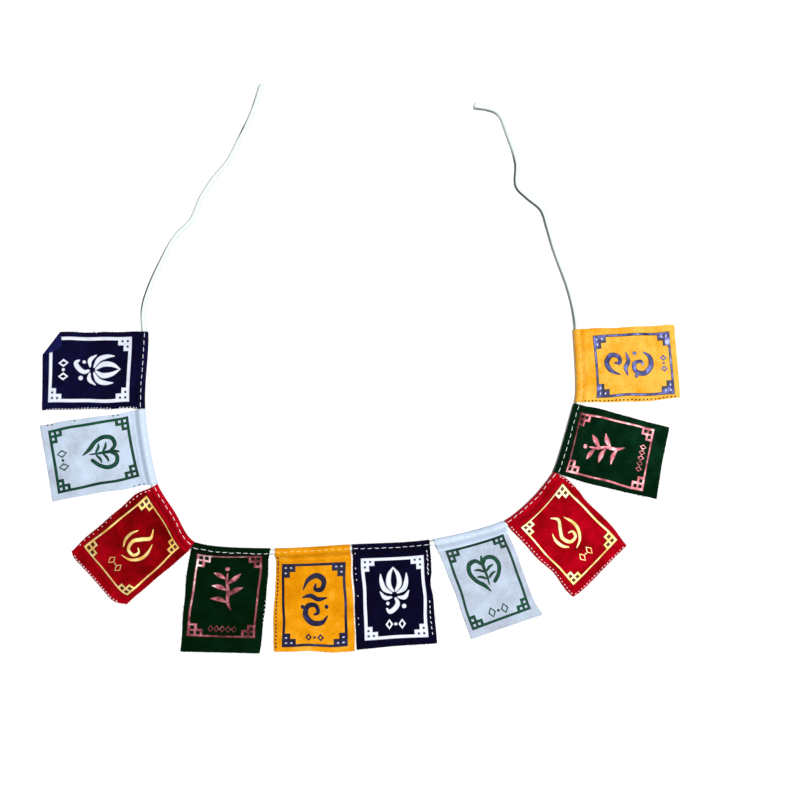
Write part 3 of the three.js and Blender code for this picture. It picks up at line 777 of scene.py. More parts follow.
class Flag:
    """The cloth of one flag, as a surface over two numbers: share, from 0 to 1 across the flag
    along the cord, and down, the distance from the cord's centreline to the bottom edge."""

    def __init__(self, facts, order):
        self.facts = facts
        self.name = facts["node"]
        self.hem = facts["hem"] * MM
        self.left = np.array(facts["left"]) * MM
        self.right = np.array(facts["right"]) * MM
        self.low_width = np.linalg.norm(self.right - self.left)
        self.turned = facts["node"] == TURNED_FLAG
        rng = np.random.default_rng(SEED + order)
        self.ripples = np.stack([rng.uniform(0.030, 0.062, 4), rng.uniform(0, np.pi, 4),
                                 rng.uniform(0, 2 * np.pi, 4), rng.uniform(0.2, 0.42, 4) * MM])
        self.wander = rng.uniform(0, 2 * np.pi, 4)
        self.rng = rng
        if self.turned:
            self.set_crease()

    def set_crease(self):
        """The crease that the corner is turned along: a point on it, the direction square to it
        that points at the corner, and the corner's distance from it."""
        corner = self.left
        up_side = normalised(self.hem_point(np.array(0.0)) - corner)
        along = normalised(self.right - corner)
        start = corner + TURNED_UP * up_side
        run = normalised(corner + TURNED_ALONG * along - start)
        square = corner - start - run * np.dot(corner - start, run)
        self.crease = start
        self.crease_depth = np.linalg.norm(square)
        self.crease_out = square / self.crease_depth

    def hem_point(self, share):
        """The place on the cord that each share hangs from."""
        return cord_plan(self.facts["start"] + share * self.hem)

    def bottom_point(self, share):
        """The place on the straight line between the two bottom corners."""
        return self.left + share[..., None] * (self.right - self.left)

    def over_corners(self, corners, share, low):
        """A value between four corner values: top left and right, bottom left and right."""
        top_left, top_right, low_left, low_right = corners
        top = top_left + (top_right - top_left) * share
        return top + (low_left + (low_right - low_left) * share - top) * low

    def drop(self, share):
        """Distance from the cord to the bottom edge."""
        straight = np.linalg.norm(self.bottom_point(share) - self.hem_point(share), axis=-1)
        return straight + soft_line(self.facts["bottom_edge"], share) * MM

    def bulge(self, share, low):
        """How far the edges' bulges move a point sideways. They fall off inwards as the eighth
        power of the share."""
        return (soft_line(self.facts["right_edge"], low) * share**8
                - soft_line(self.facts["left_edge"], low) * (1 - share)**8) * MM

    def rise(self, share, down):
        """How high the cloth's waves lift it: the sum of four sine waves in different
        directions, and of the ridges, which fall off as a bell curve on both sides of a
        straight run. Both grow from nothing at the hem's foot."""
        across = share * self.hem
        total = np.zeros(np.broadcast(share, down).shape)
        for wavelength, heading, phase, height in self.ripples.T:
            way = across * math.cos(heading) + down * math.sin(heading)
            total = total + height * (0.5 + 0.5 * np.sin(2 * np.pi * way / wavelength + phase))
        for x0, y0, x1, y1, half_width, height in self.facts["creases"]:
            run_x, run_y = (x1 - x0) * MM, (y1 - y0) * MM
            from_x, from_y = across - x0 * MM, down - y0 * MM
            place = np.clip((from_x * run_x + from_y * run_y) / (run_x**2 + run_y**2), 0, 1)
            away = np.hypot(from_x - place * run_x, from_y - place * run_y) / (half_width * MM)
            total = total + height * MM * np.exp(-away**2)
        return total * eased(HEM_FOOT - 0.001, HEM_FOOT + 0.020, down)

    def lay(self, share, down, height):
        """The middle of the cloth at given heights before its waves. Each share has a straight
        line from its point on the cord to its point on the bottom edge. The point lies on that
        line, moved sideways by the edges' bulges, which fade quickly inwards, and by a slow
        wander, and lifted by the waves."""
        top = self.hem_point(share)
        ahead = normalised(self.bottom_point(share) - top)
        sideways = np.stack([-ahead[..., 1], ahead[..., 0]], axis=-1)
        low = np.clip(down / self.drop(share), 0, 1)
        sway = (SLOW_SWAY * np.sin(2 * np.pi * 1.6 * low + self.wander[0])
                + QUICK_SWAY * np.sin(2 * np.pi * (2.7 * low + 0.8 * share) + self.wander[1])) * MM
        aside = self.bulge(share, low) + sway * eased(0, HEM_FOOT, down)
        plan = top + down[..., None] * ahead + aside[..., None] * sideways
        lift = self.rise(share, down)
        if self.turned:
            past = (plan - self.crease) @ self.crease_out
            lift = lift * (1 - eased(-2.4 * self.crease_depth, -1.2 * self.crease_depth, past))
        points = np.concatenate([plan, (height + lift)[..., None]], axis=-1)
        return self.turn_corner(points) if self.turned else points

    def turn_corner(self, points):
        """Turns what lies past the crease up and back over the face: round a half circle, then
        straight on, two radii above where it was, rising a little to its tip."""
        past = np.maximum((points[..., :2] - self.crease) @ self.crease_out, 0)
        angle = np.minimum(past / FOLD_RADIUS, np.pi)
        straight = np.maximum(past - np.pi * FOLD_RADIUS, 0)
        shift = FOLD_RADIUS * np.sin(angle) - straight - past
        turned = points.copy()
        turned[..., :2] += shift[..., None] * self.crease_out
        turned[..., 2] += FOLD_RADIUS * (1 - np.cos(angle))
        turned[..., 2] += FLAP_SPRING * (straight / self.crease_depth) ** 2
        return turned

    def pucker(self, share, down):
        """How far the stitching presses the ridge down: a bell curve across the top of the ridge,
        times a cosine along it whose waves are about as long as the stitches are apart."""
        phase = (share * self.hem - HEM_PITCH / 2) / HEM_PITCH
        return (HEM_PUCKER * (0.45 + 0.55 * np.cos(2 * np.pi * (phase + 0.5)))
                * np.exp(-(down / 0.0011) ** 2))

    def face(self, share, down, lift):
        """Points that far square off the face of the cloth. The direction is the cross product
        of the steps down and across, each taken a fifth of a millimetre either way."""
        share, down = np.broadcast_arrays(share, down)
        step = 0.0002

        def middle(s, d):
            return self.lay(s, d, ridge_height(d) - self.pucker(s, d))

        run_down = middle(share, down + step) - middle(share, down - step)
        run_across = middle(share + step / self.hem, down) - middle(share - step / self.hem, down)
        square = normalised(np.cross(run_down, run_across))
        return middle(share, down) + np.asarray(lift)[..., None] * square


def make_cloth(flag):
    """One flag: a grid whose columns start at the hem's turned edge, go round the cord and run
    down to the bottom edge. Both skins stand half the thickness off the middle, square to it,
    and a rim closes the cut edges. The flat size is the cloth's length along its columns, and
    its true area divided by that."""
    columns, body_rows = (124, 150) if flag.turned else (88, 92)
    share = np.linspace(0, 1, columns)[:, None]
    loop_down, loop_height = hem_profile()
    ridge_down = np.linspace(0, HEM_FOOT, 22)[:-1]
    below = np.linspace(0, 1, body_rows)
    drop = flag.drop(share)
    body = HEM_FOOT + below * (drop - HEM_FOOT)
    column = np.arange(columns)
    ragged = RAGGED * np.sin(column * 1.9 + 0.8 * np.sin(column * 0.7))
    body = body + ragged[:, None] * below**12
    ridge = np.broadcast_to(ridge_down, (columns, len(ridge_down)))
    front = np.concatenate([ridge, body], axis=1)
    loop = np.broadcast_to(loop_down, (columns, len(loop_down)))
    down = np.concatenate([loop, front], axis=1)
    height = np.concatenate([np.broadcast_to(loop_height, loop.shape),
                             ridge_height(front) - flag.pucker(share, front)], axis=1)
    share = np.broadcast_to(share, down.shape)
    middle = flag.lay(share, down, height)
    square = normalised(np.cross(np.gradient(middle, axis=1), np.gradient(middle, axis=0)))
    skins = [middle + sign * CLOTH / 2 * square for sign in (1, -1)]
    points = np.concatenate([skin.reshape(-1, 3) for skin in skins])
    points[:, 2] = np.maximum(points[:, 2], LOWEST)
    widths = np.linalg.norm(np.diff(middle, axis=0), axis=2).sum(axis=0)
    steps = np.linalg.norm(np.diff(middle, axis=1), axis=2).mean(axis=0)
    along = np.concatenate([[0], np.cumsum(steps)])
    area = np.sum((widths[1:] + widths[:-1]) / 2 * steps)
    flag.flat_size = (area / along[-1], along[-1])
    uv = np.stack([share * flag.hem, np.broadcast_to(along, down.shape)], axis=-1).reshape(-1, 2)
    faces = slab_faces(grid_quads(*down.shape), down.size)
    back = np.concatenate([np.full(len(skin), number) for skin, number in zip(faces, (0, 1, 0))])
    cloth = flag.facts["cloth"]
    # Painted shade and light over the flag, taken between its four corners, with painted light
    # added on the hem.
    tone = flag.over_corners(flag.facts["tone"], share, np.clip(down / drop, 0, 1))
    tone = (tone + flag.facts["painted_hem_light"] * (1 - eased(HEM_SHOULDER, HEM_FOOT, down))).ravel()
    return mesh_object(flag.name.replace("flag", "cloth"), points, faces,
                       [FACES[cloth], BACKS[cloth]], uv=np.concatenate([uv, uv]),
                       marks={"tone": np.concatenate([tone, tone])}, which=back)


# ==== Printed shapes, in millimetres: x to the right and y down the flag ====
# Each gives the points of a patch and its quads.

def block_holes():
    """The middles of the three square holes of each corner block."""
    first = BLOCK_DEEP / 2
    near = ((first, first), (first + BLOCK_PITCH, first), (first, first + BLOCK_PITCH))
    return [(x, y) for along, below in near
            for x in (along, PRINT_WIDE - along) for y in (below, PRINT_TALL - below)]


def border_patch(line, hole_size, turned):
    """The border as one grid with cells left out. With x and y taken from the nearer side, a
    cell stays if it is in the line along the edge or in the stepped corner block, which is two
    crossing rectangles, and not in one of the block's three square holes. The corner that is
    turned over has no block."""
    first = BLOCK_DEEP / 2
    half = hole_size / 2
    holes = [first - half, first + half, first + BLOCK_PITCH - half, first + BLOCK_PITCH + half]
    marks = [0, PRINT_RIM, line - PRINT_RIM, line, *holes, *(h - PRINT_RIM for h in holes[::2]),
             *(h + PRINT_RIM for h in holes[1::2]), BLOCK_DEEP, BLOCK_LONG - PRINT_RIM, BLOCK_LONG]

    def lines(size):
        near = np.unique(np.round(marks, 3))
        steps = int((size - 2 * BLOCK_LONG) / PRINT_CELL)
        middle = np.linspace(BLOCK_LONG, size - BLOCK_LONG, steps + 1)[1:-1]
        return np.concatenate([near, middle, size - np.array(near[::-1])])

    xs, ys = lines(PRINT_WIDE), lines(PRINT_TALL)
    x, y = np.meshgrid(xs, ys, indexing="ij")
    quads = grid_quads(len(xs), len(ys))
    centre = np.stack([x.ravel()[quads].mean(axis=1), y.ravel()[quads].mean(axis=1)], axis=1)
    nx, ny = np.minimum(centre, np.array([PRINT_WIDE, PRINT_TALL]) - centre).T
    block = ((nx < BLOCK_DEEP) & (ny < BLOCK_LONG)) | ((nx < BLOCK_LONG) & (ny < BLOCK_DEEP))
    if turned:
        block &= (centre[:, 0] > PRINT_WIDE / 2) | (centre[:, 1] < PRINT_TALL / 2)
    from_holes = np.abs(centre[:, None] - np.array(block_holes())).max(axis=2)
    hole = (from_holes < half).any(axis=1)
    kept = quads[((np.minimum(nx, ny) < line) | block) & ~hole]
    used, kept = np.unique(kept, return_inverse=True)
    points = np.stack([x.ravel(), y.ravel()], axis=1)[used]
    return points, kept.reshape(-1, 4)


def stroke_patch(spine, steps_per_span=9):
    """A brush stroke along a rounded line of (x, y, half width) points. The half width is drawn
    in at both ends as a circle is, so that the stroke ends round."""
    line = rounded_route(np.array(spine, dtype=float), steps_per_span)
    middle, half = line[:, :2], line[:, 2]
    ahead = normalised(np.gradient(middle, axis=0))
    side = np.stack([ahead[:, 1], -ahead[:, 0]], axis=1)
    reach = np.concatenate([[0], np.cumsum(np.linalg.norm(np.diff(middle, axis=0), axis=1))])
    from_end = np.minimum(reach, reach[-1] - reach)
    rounded = np.sqrt(1 - (1 - np.clip(from_end / np.maximum(half, 0.05), 0.06, 1)) ** 2)
    reaches = (half * rounded)[:, None, None] * STROKE_ROWS[:, None]
    points = middle[:, None] + reaches * side[:, None]
    return points.reshape(-1, 2), grid_quads(len(line), len(STROKE_ROWS))


def square_patch(x, y, size):
    """A single square face, which is all rim, so it takes the print's dark rim colour."""
    corners = np.array([(-1, -1), (1, -1), (1, 1), (-1, 1)]) * size / 2
    return corners + (x, y), np.array([[0, 1, 2, 3]])


def dot_patch(x, y, radius, radius_across=None):
    """A round or oval dot: a square grid from -1 to 1 squeezed into a circle, each coordinate
    being scaled by the root of 1 less half the other's square."""
    rows = np.linspace(-1, 1, DOT_ROWS)
    u, v = np.meshgrid(rows, rows, indexing="ij")
    px = x + (radius_across or radius) * u * np.sqrt(1 - v**2 / 2)
    py = y + radius * v * np.sqrt(1 - u**2 / 2)
    return np.stack([px.ravel(), py.ravel()], axis=1), grid_quads(DOT_ROWS, DOT_ROWS)


def lozenge_patch(x, y, wide, tall, line):
    """A lozenge drawn with a line: a closed ring between two curves |x/a| + |y/b| = 1, whose
    half widths a and half heights b differ by the line's breadth."""
    angle = 2 * np.pi * np.arange(RING_SIDES) / RING_SIDES
    fall = 1 / (np.abs(np.cos(angle)) + np.abs(np.sin(angle)))
    inner = np.array([wide - line, tall - line])
    outer = np.array([wide, tall])
    sizes = inner + RING_ROWS[:, None] * (outer - inner)
    corners = np.stack([np.cos(angle), np.sin(angle)], axis=1) * fall[:, None]
    points = np.array([x, y]) + sizes[:, None] * corners
    return points.reshape(-1, 2), grid_quads(len(RING_ROWS), RING_SIDES, closed=True)


def mirrored(spine):
    """The same stroke on the other side of the upright through x = 0."""
    return [(-x, y, half) for x, y, half in spine]


def lotus():
    """A lotus flower from the side, over a curled stem, with a bud on each side."""
    petals = [
        [(0.2, 2, .3), (-3.4, 8, 1.6), (-4.0, 14.5, 1.9), (-0.4, 20.2, .6)],
        [(-1.6, 21.2, .6), (-7.6, 17.6, 1.8), (-9.6, 12, 1.5), (-9.8, 6.5, .3)],
        [(-1.8, 23.8, .5), (-7.2, 24.0, 1.6), (-11.2, 19.2, .3)],
    ]
    stem = [(0.2, 24, .8), (1.8, 28, 1.6), (-0.6, 32, 1.8), (-4.6, 34.2, 1.6), (-7, 31.4, .5)]
    strokes = [stroke_patch(p) for p in petals] + [stroke_patch(mirrored(p)) for p in petals]
    return strokes + [stroke_patch(stem), dot_patch(6.4, 30.4, 1.7), dot_patch(-5.6, 28.2, 1.3)]


def leaf():
    """A heart-shaped fig leaf with a short tip, its stalk, its midrib and its veins."""
    edge = [(0, 5.6, 1.3), (-4.2, 1.2, 1.5), (-10.2, 2.6, 1.7), (-12.4, 9.0, 1.7),
            (-9.6, 16.2, 1.6), (-4.0, 21.6, 1.5), (0, 27.4, .4)]
    veins = [[(-1.0, y, .7), (-4.4, y - 2.6, 1.1), (-8.2, y - 3.6, .4)] for y in (11.4, 17.2)]
    strokes = [stroke_patch(edge), stroke_patch(mirrored(edge)[:-1])]
    strokes += [stroke_patch(v) for v in veins] + [stroke_patch(mirrored(v)) for v in veins]
    return strokes + [stroke_patch([(1.8, -1.6, .8), (0.4, 3, 1.2), (0, 8, 1.3), (0, 22.5, .5)])]


def flame():
    """A rising flame: one long S that curls in at its foot, and a lick on each side."""
    heart = [(-1.8, 1.5, .3), (2.6, 7.6, 1.6), (-1.2, 14, 1.8), (-4.8, 20.6, 1.7),
             (-2.6, 27.4, 1.6), (3.0, 27.4, 1.5), (4.2, 22.4, 1.2), (0.8, 20.6, .5)]
    right = [(7.0, 8.5, .3), (9.2, 16.5, 1.4), (8.6, 24.5, 1.6), (4.2, 31.6, 1.3), (-3.0, 35, .3)]
    left = [(-8.0, 11.5, .3), (-9.8, 18, 1.3), (-9.2, 25, 1.4), (-6.0, 30, .5)]
    return [stroke_patch(s) for s in (heart, right, left)]


def sprig():
    """A bending twig with five leaves and a bud."""
    twig = [(4.6, 35, .4), (1.8, 28, 1.3), (1.2, 20, 1.3), (-0.6, 12, 1.1), (-0.6, 5, .4)]
    leaves = [
        [(1.2, 24, .3), (6.0, 18.8, 2.2), (10.6, 16.6, .2)],
        [(1.0, 19.6, .3), (-5.2, 16.2, 2.2), (-10.2, 15.4, .2)],
        [(-0.2, 14.4, .3), (4.4, 9.6, 2.1), (8.2, 5.6, .2)],
        [(-1.2, 10.4, .3), (-5.6, 7.2, 2.0), (-9.4, 5.4, .2)],
        [(1.8, 29, .3), (-4.0, 26, 2.1), (-9.8, 25.8, .2)],
    ]
    return [stroke_patch(s) for s in (twig, *leaves)] + [dot_patch(-0.8, 2.2, 1.8)]


def cloud():
    """A cloud scroll: a curl above, a larger one below turning the other way, a band between
    them and two drops."""
    upper = [(-8.4, 12.6, .4), (-4.6, 6, 1.5), (2.0, 3.4, 1.8), (7.2, 7.0, 1.9),
             (5.4, 12.2, 1.6), (0.6, 12.0, 1.3), (1.4, 8.4, .6)]
    lower = [(9.0, 29, .4), (5.0, 33.6, 1.5), (-2.4, 34, 1.9), (-7.4, 29, 2.0),
             (-5.4, 23.2, 1.7), (0.4, 22.8, 1.5), (1.8, 27.4, 1.2), (-1.6, 28.8, .6)]
    band = [(-9.2, 17.6, .4), (-3.0, 16.4, 1.5), (2.4, 18.6, 1.5), (9.4, 17.4, .4)]
    drops = [dot_patch(-9.2, 23.6, 1.4), dot_patch(8.2, 23.4, 1.4)]
    return [stroke_patch(s) for s in (upper, lower, band)] + drops


# Each motif with its top below the border's top edge, its height and its width, then the row
# under it: the row's middle, how far its lozenges stand from the middle, a lozenge's half width
# and half height, the breadth of its line and the middle dot's radius.
MOTIFS = {
    "lotus": (lotus, (7.6, 37.0, 23.5), (52.7, (-5.1, 5.1), 3.1, 4.1, 1.7, 1.25)),
    "leaf": (leaf, (10.7, 29.5, 27.0), (56.0, (-5.1, 5.1), 3.1, 4.3, 1.25, 1.1)),
    "flame": (flame, (10.8, 33.5, 23.5), (52.7, (-3.9, 3.9), 2.7, 4.0, 0.95, 0.75)),
    "sprig": (sprig, (9.2, 34.0, 24.5), (57.3, (-8.8, -4.4, 0, 4.4, 8.8), 2.2, 2.8, 0.95, 0)),
    "cloud": (cloud, (7.4, 41.0, 21.3), (57.0, (-4.5, 4.5), 2.6, 2.9, 1.5, 0.95)),
}


def motif_patches(motif):
    """The motif's patches, stretched to its size and set in its place, and its row's."""
    draw, (top, tall, wide), (middle, places, half_wide, half_tall, line, dot) = MOTIFS[motif]
    patches = draw()
    every = np.concatenate([points for points, _ in patches])
    low, high = every.min(axis=0), every.max(axis=0)
    stretch = np.array([wide, tall]) / (high - low)
    corner = np.array([(PRINT_WIDE - wide) / 2, top])
    placed = [((points - low) * stretch + corner, quads) for points, quads in patches]
    row = [lozenge_patch(PRINT_WIDE / 2 + x, middle, half_wide, half_tall, line) for x in places]
    if dot:
        row.append(dot_patch(PRINT_WIDE / 2, middle, dot))
    return placed + row


def print_place(flag, x, y):
    """Share and distance down of a printed point. The border's four margins are taken between
    their two ends, and the point's place between them. The print follows the edges' bulges only
    on average, so that its lines stay straight."""
    (left_top, left_low), (right_top, right_low), tops, lows = flag.facts["border"]
    a, b = x / PRINT_WIDE, y / PRINT_TALL
    width = flag.hem + (flag.low_width - flag.hem) * b
    left = (left_top + (left_low - left_top) * b) * MM
    right = (right_top + (right_low - right_top) * b) * MM
    share = (left + a * (width - left - right)) / width
    top = (tops[0] + (tops[1] - tops[0]) * a) * MM
    low = (lows[0] + (lows[1] - lows[0]) * a) * MM
    down = top + b * (flag.drop(share) - top - low)
    average = np.mean([flag.bulge(share, at) for at in (0.2, 0.35, 0.5, 0.65, 0.8)], axis=0)
    here = flag.bulge(share, down / flag.drop(share))
    return share - (here - average) / width, down


def film_piece(flag, kind, patches, finish, first_lift):
    """Patches as thin closed slabs on the cloth, as one piece. Each stands FILM_STEP higher than
    the one before, so that strokes can cross, and reaches FILM_DEPTH into the cloth. rim marks
    the points that have fewer than four faces round them, which are the ones along a patch's
    edges."""
    points, faces, rims, painted_print_lights, count = [], [], [], [], 0
    for layer, (flat, quads) in enumerate(patches):
        share, down = print_place(flag, flat[:, 0], flat[:, 1])
        top = CLOTH / 2 + first_lift + FILM_STEP * layer
        rim = (np.bincount(quads.ravel(), minlength=len(flat)) < 4).astype(float)
        # Painted highlight and shade on the print, taken between the flag's four corners.
        shine = flag.over_corners(flag.facts["shine"], share, down / flag.drop(share))
        for lift in (top, CLOTH / 2 - FILM_DEPTH):
            points.append(flag.face(share, down, np.full(len(flat), lift)))
            rims.append(rim)
            painted_print_lights.append(shine)
        faces.append(np.concatenate(slab_faces(quads, len(flat))) + count)
        count += 2 * len(flat)
    marks = {"rim": np.concatenate(rims), "shine": np.concatenate(painted_print_lights)}
    film = mesh_object(flag.name.replace("flag", kind), np.concatenate(points),
                       [np.concatenate(faces)], [finish], marks=marks, sharp=40)
    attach(film, BODY)
    return film


def make_print(flag):
    """The printed film: the border, the motif and the row."""
    slot, finish = PRINTS[flag.facts["cloth"]]
    hole_size = BLOCK_HOLES[flag.facts["cloth"]]
    patches = [border_patch(flag.facts["line"], hole_size, flag.turned)]
    patches += motif_patches(flag.facts["motif"])
    if flag.facts["cloth"] == "red":
        patches += [square_patch(x, y, hole_size) for x, y in block_holes()]
    return film_piece(flag, "print", patches, finish, PRINT_THICK)


def make_dabs(flag):
    """Pale oval dabs on the corner blocks, where other flags have square holes."""
    dabs = [dot_patch(x, y, DAB_TALL, DAB_WIDE) for x, y in block_holes()]
    return film_piece(flag, "dabs", dabs, PALE_DAB, 1.5 * PRINT_THICK)


# ==== Stitches and loose fibres ====

STITCH_LIFT = 0.2 * MM            # how far a stitch's middle stands above the cloth
STITCH_DIP = 0.12 * MM            # and how far its ends dip into it
EDGE_THREADS = {"white": 0.00072, "dark": 0.0011}   # thickness of the threads at the edges
FUZZ_COUNT = 210                  # loose fibres on a flag
FIBRE = 0.00006                   # radius of a fibre
THREAD_LOWEST = 0.00003           # how far above the surface threads and fibres stay
# Runs of small stitches near the edges: (flag, edge, from, to, spacing, inset, length, lean,
# thread). from and to are shares along the edge from the hem (or from the left corner on the
# bottom edge), the sizes are in millimetres, and lean is degrees from the edge's direction.
EDGE_RUNS = [
    (1, "right", .03, .24, 2.4, .6, 1.3, 30, "white"),
    (1, "right", .30, .97, 2.5, .5, 1.2, 30, "white"),
    (1, "left", .46, .52, 2.9, .5, 1.3, 80, "white"),
    (2, "left", .22, .30, 2.9, .9, 1.1, 20, "dark"),
    (2, "left", .64, .68, 2.9, .9, 1.1, 10, "dark"),
    (2, "left", .86, .95, 2.9, .8, 1.1, 20, "dark"),
    (2, "right", .07, .22, 3.0, 1.0, 1.0, 10, "dark"),
    (3, "left", .04, .34, 3.0, 1.2, 1.3, 8, "white"),
    (3, "left", .48, .92, 4.2, 1.1, .9, 8, "white"),
    (3, "bottom", .05, .90, 2.6, 1.1, 1.2, 5, "white"),
    (4, "right", .46, .72, 3.2, .2, 1.1, 70, "white"),
    (5, "left", .04, .97, 2.9, 1.7, 2.0, 8, "dark"),
    (6, "left", .04, .06, 3.0, 2.0, 1.1, 10, "white"),
    (6, "left", .18, .34, 3.2, 2.2, 1.3, 12, "white"),
    (6, "left", .44, .50, 3.0, 2.2, 1.1, 12, "white"),
    (6, "left", .66, .78, 3.2, 2.2, 1.1, 12, "white"),
    (6, "right", .05, .32, 3.4, 2.6, 2.8, 8, "white"),
    (6, "right", .55, .92, 3.6, 3.2, 2.5, 12, "white"),
    (8, "left", .03, .98, 2.8, 1.4, 1.3, 6, "white"),
    (8, "bottom", .03, .97, 2.8, 1.2, 1.2, 6, "white"),
    (8, "right", .02, .22, 2.8, .8, 1.3, 20, "white"),
    (10, "left", .04, .97, 2.9, 1.1, 1.2, 8, "dark"),
]


def stitch_lines(flag, share, down, length, lean):
    """Short arched stitches on the face. Each is a straight run on the flag, turned by lean
    from the way down, whose ends dip into the cloth and whose middle stands above it."""
    t = np.linspace(-0.5, 0.5, 6)
    across = (share * flag.hem)[:, None] + np.sin(lean)[:, None] * length[:, None] * t
    below = down[:, None] + np.cos(lean)[:, None] * length[:, None] * t
    arch = CLOTH / 2 - STITCH_DIP + (STITCH_LIFT + STITCH_DIP) * np.cos(np.pi * t) ** 0.6
    return flag.face(across / flag.hem, below, np.broadcast_to(arch, across.shape))


def thread_piece(flag, kind, thread, lines, thickness):
    """Stitches as round threads, drawn in at both ends."""
    slot, finish = THREADS[thread]
    taper = np.array([0.45, 0.85, 1.0, 1.0, 0.85, 0.45])
    radii = np.broadcast_to(thickness / 2 * taper, lines.shape[:2])
    points, quads, caps = tubes(lines, radii, 6)
    points[:, 2] = np.maximum(points[:, 2], THREAD_LOWEST)
    piece = mesh_object(flag.name.replace("flag", kind), points, [quads, caps], [finish], sharp=70)
    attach(piece, BODY)
    return piece


def make_hem_stitches(flag):
    """Machine stitches over the top of the ridge, evenly spaced, each a little off line."""
    count = int(flag.hem / HEM_PITCH)
    share = (np.arange(count) + 0.5) / count
    rng = flag.rng
    length = HEM_DASH * rng.uniform(0.85, 1.12, count)
    lean = np.pi / 2 + rng.normal(0, 0.05, count)
    down = flag.facts["seam"] * MM + rng.normal(0, 0.00012, count)
    lines = stitch_lines(flag, share, down, length, lean)
    thread = "cream" if flag.facts["cloth"] == "yellow" else "white"
    return thread_piece(flag, "hem_stitches", thread, lines, HEM_THREAD)


def make_edge_stitches(flag, order):
    """The stitches that show along the other edges, as one piece for each thread."""
    pieces = []
    for thread, thickness in EDGE_THREADS.items():
        lines = []
        for number, edge, start, end, spacing, inset, length, lean, colour in EDGE_RUNS:
            if number != order + 1 or colour != thread:
                continue
            whole = flag.low_width if edge == "bottom" else flag.drop(np.array(0.5))
            count = max(int((end - start) * whole / (spacing * MM)), 1)
            place = start + (np.arange(count) + 0.5) / count * (end - start)
            place = place + flag.rng.normal(0, 0.0016, count)
            inset_by = (inset + flag.rng.normal(0, 0.12, count)) * MM
            turn = np.radians(lean + flag.rng.normal(0, 9, count))
            if edge == "bottom":
                share, down = place, flag.drop(place) - inset_by
                turn = turn + np.pi / 2
            else:
                width = flag.hem + (flag.low_width - flag.hem) * place
                share = inset_by / width if edge == "left" else 1 - inset_by / width
                down = place * flag.drop(share)
            size = length * MM * flag.rng.uniform(0.75, 1.2, count)
            lines.append(stitch_lines(flag, share, down, size, turn))
        if lines:
            pieces.append(thread_piece(flag, f"edge_stitches_{thread}", thread,
                                       np.concatenate(lines), thickness))
    return pieces


def make_fuzz(flag):
    """Loose fibres along the two sides and the bottom edge. Each starts just inside the edge and
    runs outwards, leaning to one side in proportion to its reach and curling with the square."""
    rng = flag.rng
    side = rng.integers(0, 3, FUZZ_COUNT)[:, None]
    place = rng.uniform(0.02, 0.98, FUZZ_COUNT)[:, None]
    reach = rng.uniform(0.5, 1.5, FUZZ_COUNT)[:, None] * MM
    lean = rng.normal(0, 0.7, FUZZ_COUNT)[:, None]
    curl = rng.normal(0, 0.5, FUZZ_COUNT)[:, None]
    t = np.linspace(0, 1, 4)
    out = reach * t - 0.3 * MM
    aside = reach * (lean * t + curl * t**2)
    drop = flag.drop(place)
    beside = np.where(side == 0, -out, flag.hem + out) / flag.hem
    share = np.where(side < 2, beside, place + aside / flag.hem)
    down = np.where(side < 2, place * drop + aside, drop + out)
    lift = rng.uniform(-0.2, 0.5, FUZZ_COUNT)[:, None] * MM * t
    lines = flag.face(share, down, lift)
    radii = np.broadcast_to(FIBRE * np.array([1, 1, 0.8, 0.4]), lines.shape[:2])
    points, quads, caps = tubes(lines, radii, 3)
    points[:, 2] = np.maximum(points[:, 2], THREAD_LOWEST)
    cloth = flag.facts["cloth"]
    # The fibres carry the cloth's painted-light mark at its lightest.
    fuzz = mesh_object(flag.name.replace("flag", "fuzz"), points, [quads, caps], [FACES[cloth]],
                       uv=points[:, :2], marks={"tone": np.ones(len(points))})
    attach(fuzz, BODY)
    return fuzz


# ==== Building the string ====

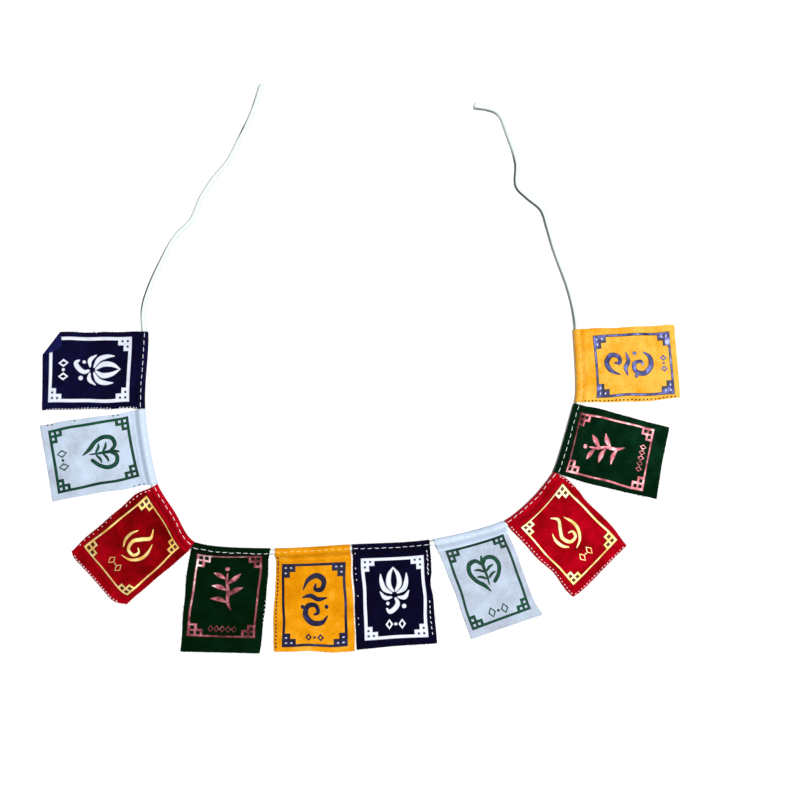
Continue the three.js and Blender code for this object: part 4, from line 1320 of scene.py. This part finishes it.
def build_cord():
    """The cord with its two cut ends, the right one more frayed than the left."""
    rng = np.random.default_rng(SEED)
    cord = make_cord()
    left_fray = make_frayed_end(rng, "cord_end_left", at=0.0, outwards=-1, count=44,
                                longest=0.0022, spread=0.5)
    right_fray = make_frayed_end(rng, "cord_end_right", at=CORD_LENGTH, outwards=1, count=90,
                                 longest=0.0042, spread=0.8)
    for piece in (cord, left_fray, right_fray):
        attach(piece, BODY)
    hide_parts("cord")


def build_flag(facts, order):
    """A flag's cloth with its print, its stitches and its loose fibres."""
    flag = Flag(facts, order)
    cloth = make_cloth(flag)
    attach(cloth, BODY)
    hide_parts(flag.name)
    on_it = [make_print(flag), make_hem_stitches(flag), *make_edge_stitches(flag, order),
             make_fuzz(flag)]
    if facts["cloth"] == "yellow":
        on_it.append(make_dabs(flag))


bpy.context.scene.view_settings.view_transform = "Standard"
add_camera()
build_cord()
for order, facts in enumerate(FLAGS):
    build_flag(facts, order)


# ==== Floor and light ====

FLOOR_HALF = 10.0                 # half the floor's side
ROOM_LIGHT = 0.34                 # strength of the even light from all round


def add_floor():
    """A wide pale sheet that everything lies on."""
    corners = FLOOR_HALF * np.array([(-1, -1, 0), (1, -1, 0), (1, 1, 0), (-1, 1, 0)])
    floor = mesh_object("floor", corners, [np.array([[0, 1, 2, 3]])], [backdrop_paper()])


def add_light(name, place, size, power, tint):
    """A square soft box at a place, facing the layout's middle."""
    data = bpy.data.lights.new(name, "AREA")
    data.size = size
    data.energy = power
    data.color = linear(tint)[:3]
    lamp = bpy.data.objects.new(name, data)
    lamp.location = place
    aim = np.array(place) - MIDDLE
    lamp.rotation_euler = (math.atan2(math.hypot(aim[0], aim[1]), aim[2]), 0,
                           math.atan2(aim[1], aim[0]) + math.pi / 2)
    bpy.context.scene.collection.objects.link(lamp)


def add_room_light():
    """Even white light from all round, as in a light tent."""
    world = bpy.data.worlds.new("tent")
    world.use_nodes = True
    world.node_tree.nodes.clear()
    glow = add(world.node_tree, "ShaderNodeBackground",
               values={"Color": linear("#f6f9ff"), "Strength": ROOM_LIGHT})
    add(world.node_tree, "ShaderNodeOutputWorld", links={"Surface": glow.outputs[0]})
    bpy.context.scene.world = world


add_floor()
add_light("key_light", place=(0.72, 0.05, 2.88), size=0.45, power=90.0, tint="#fffdf9")
add_room_light()
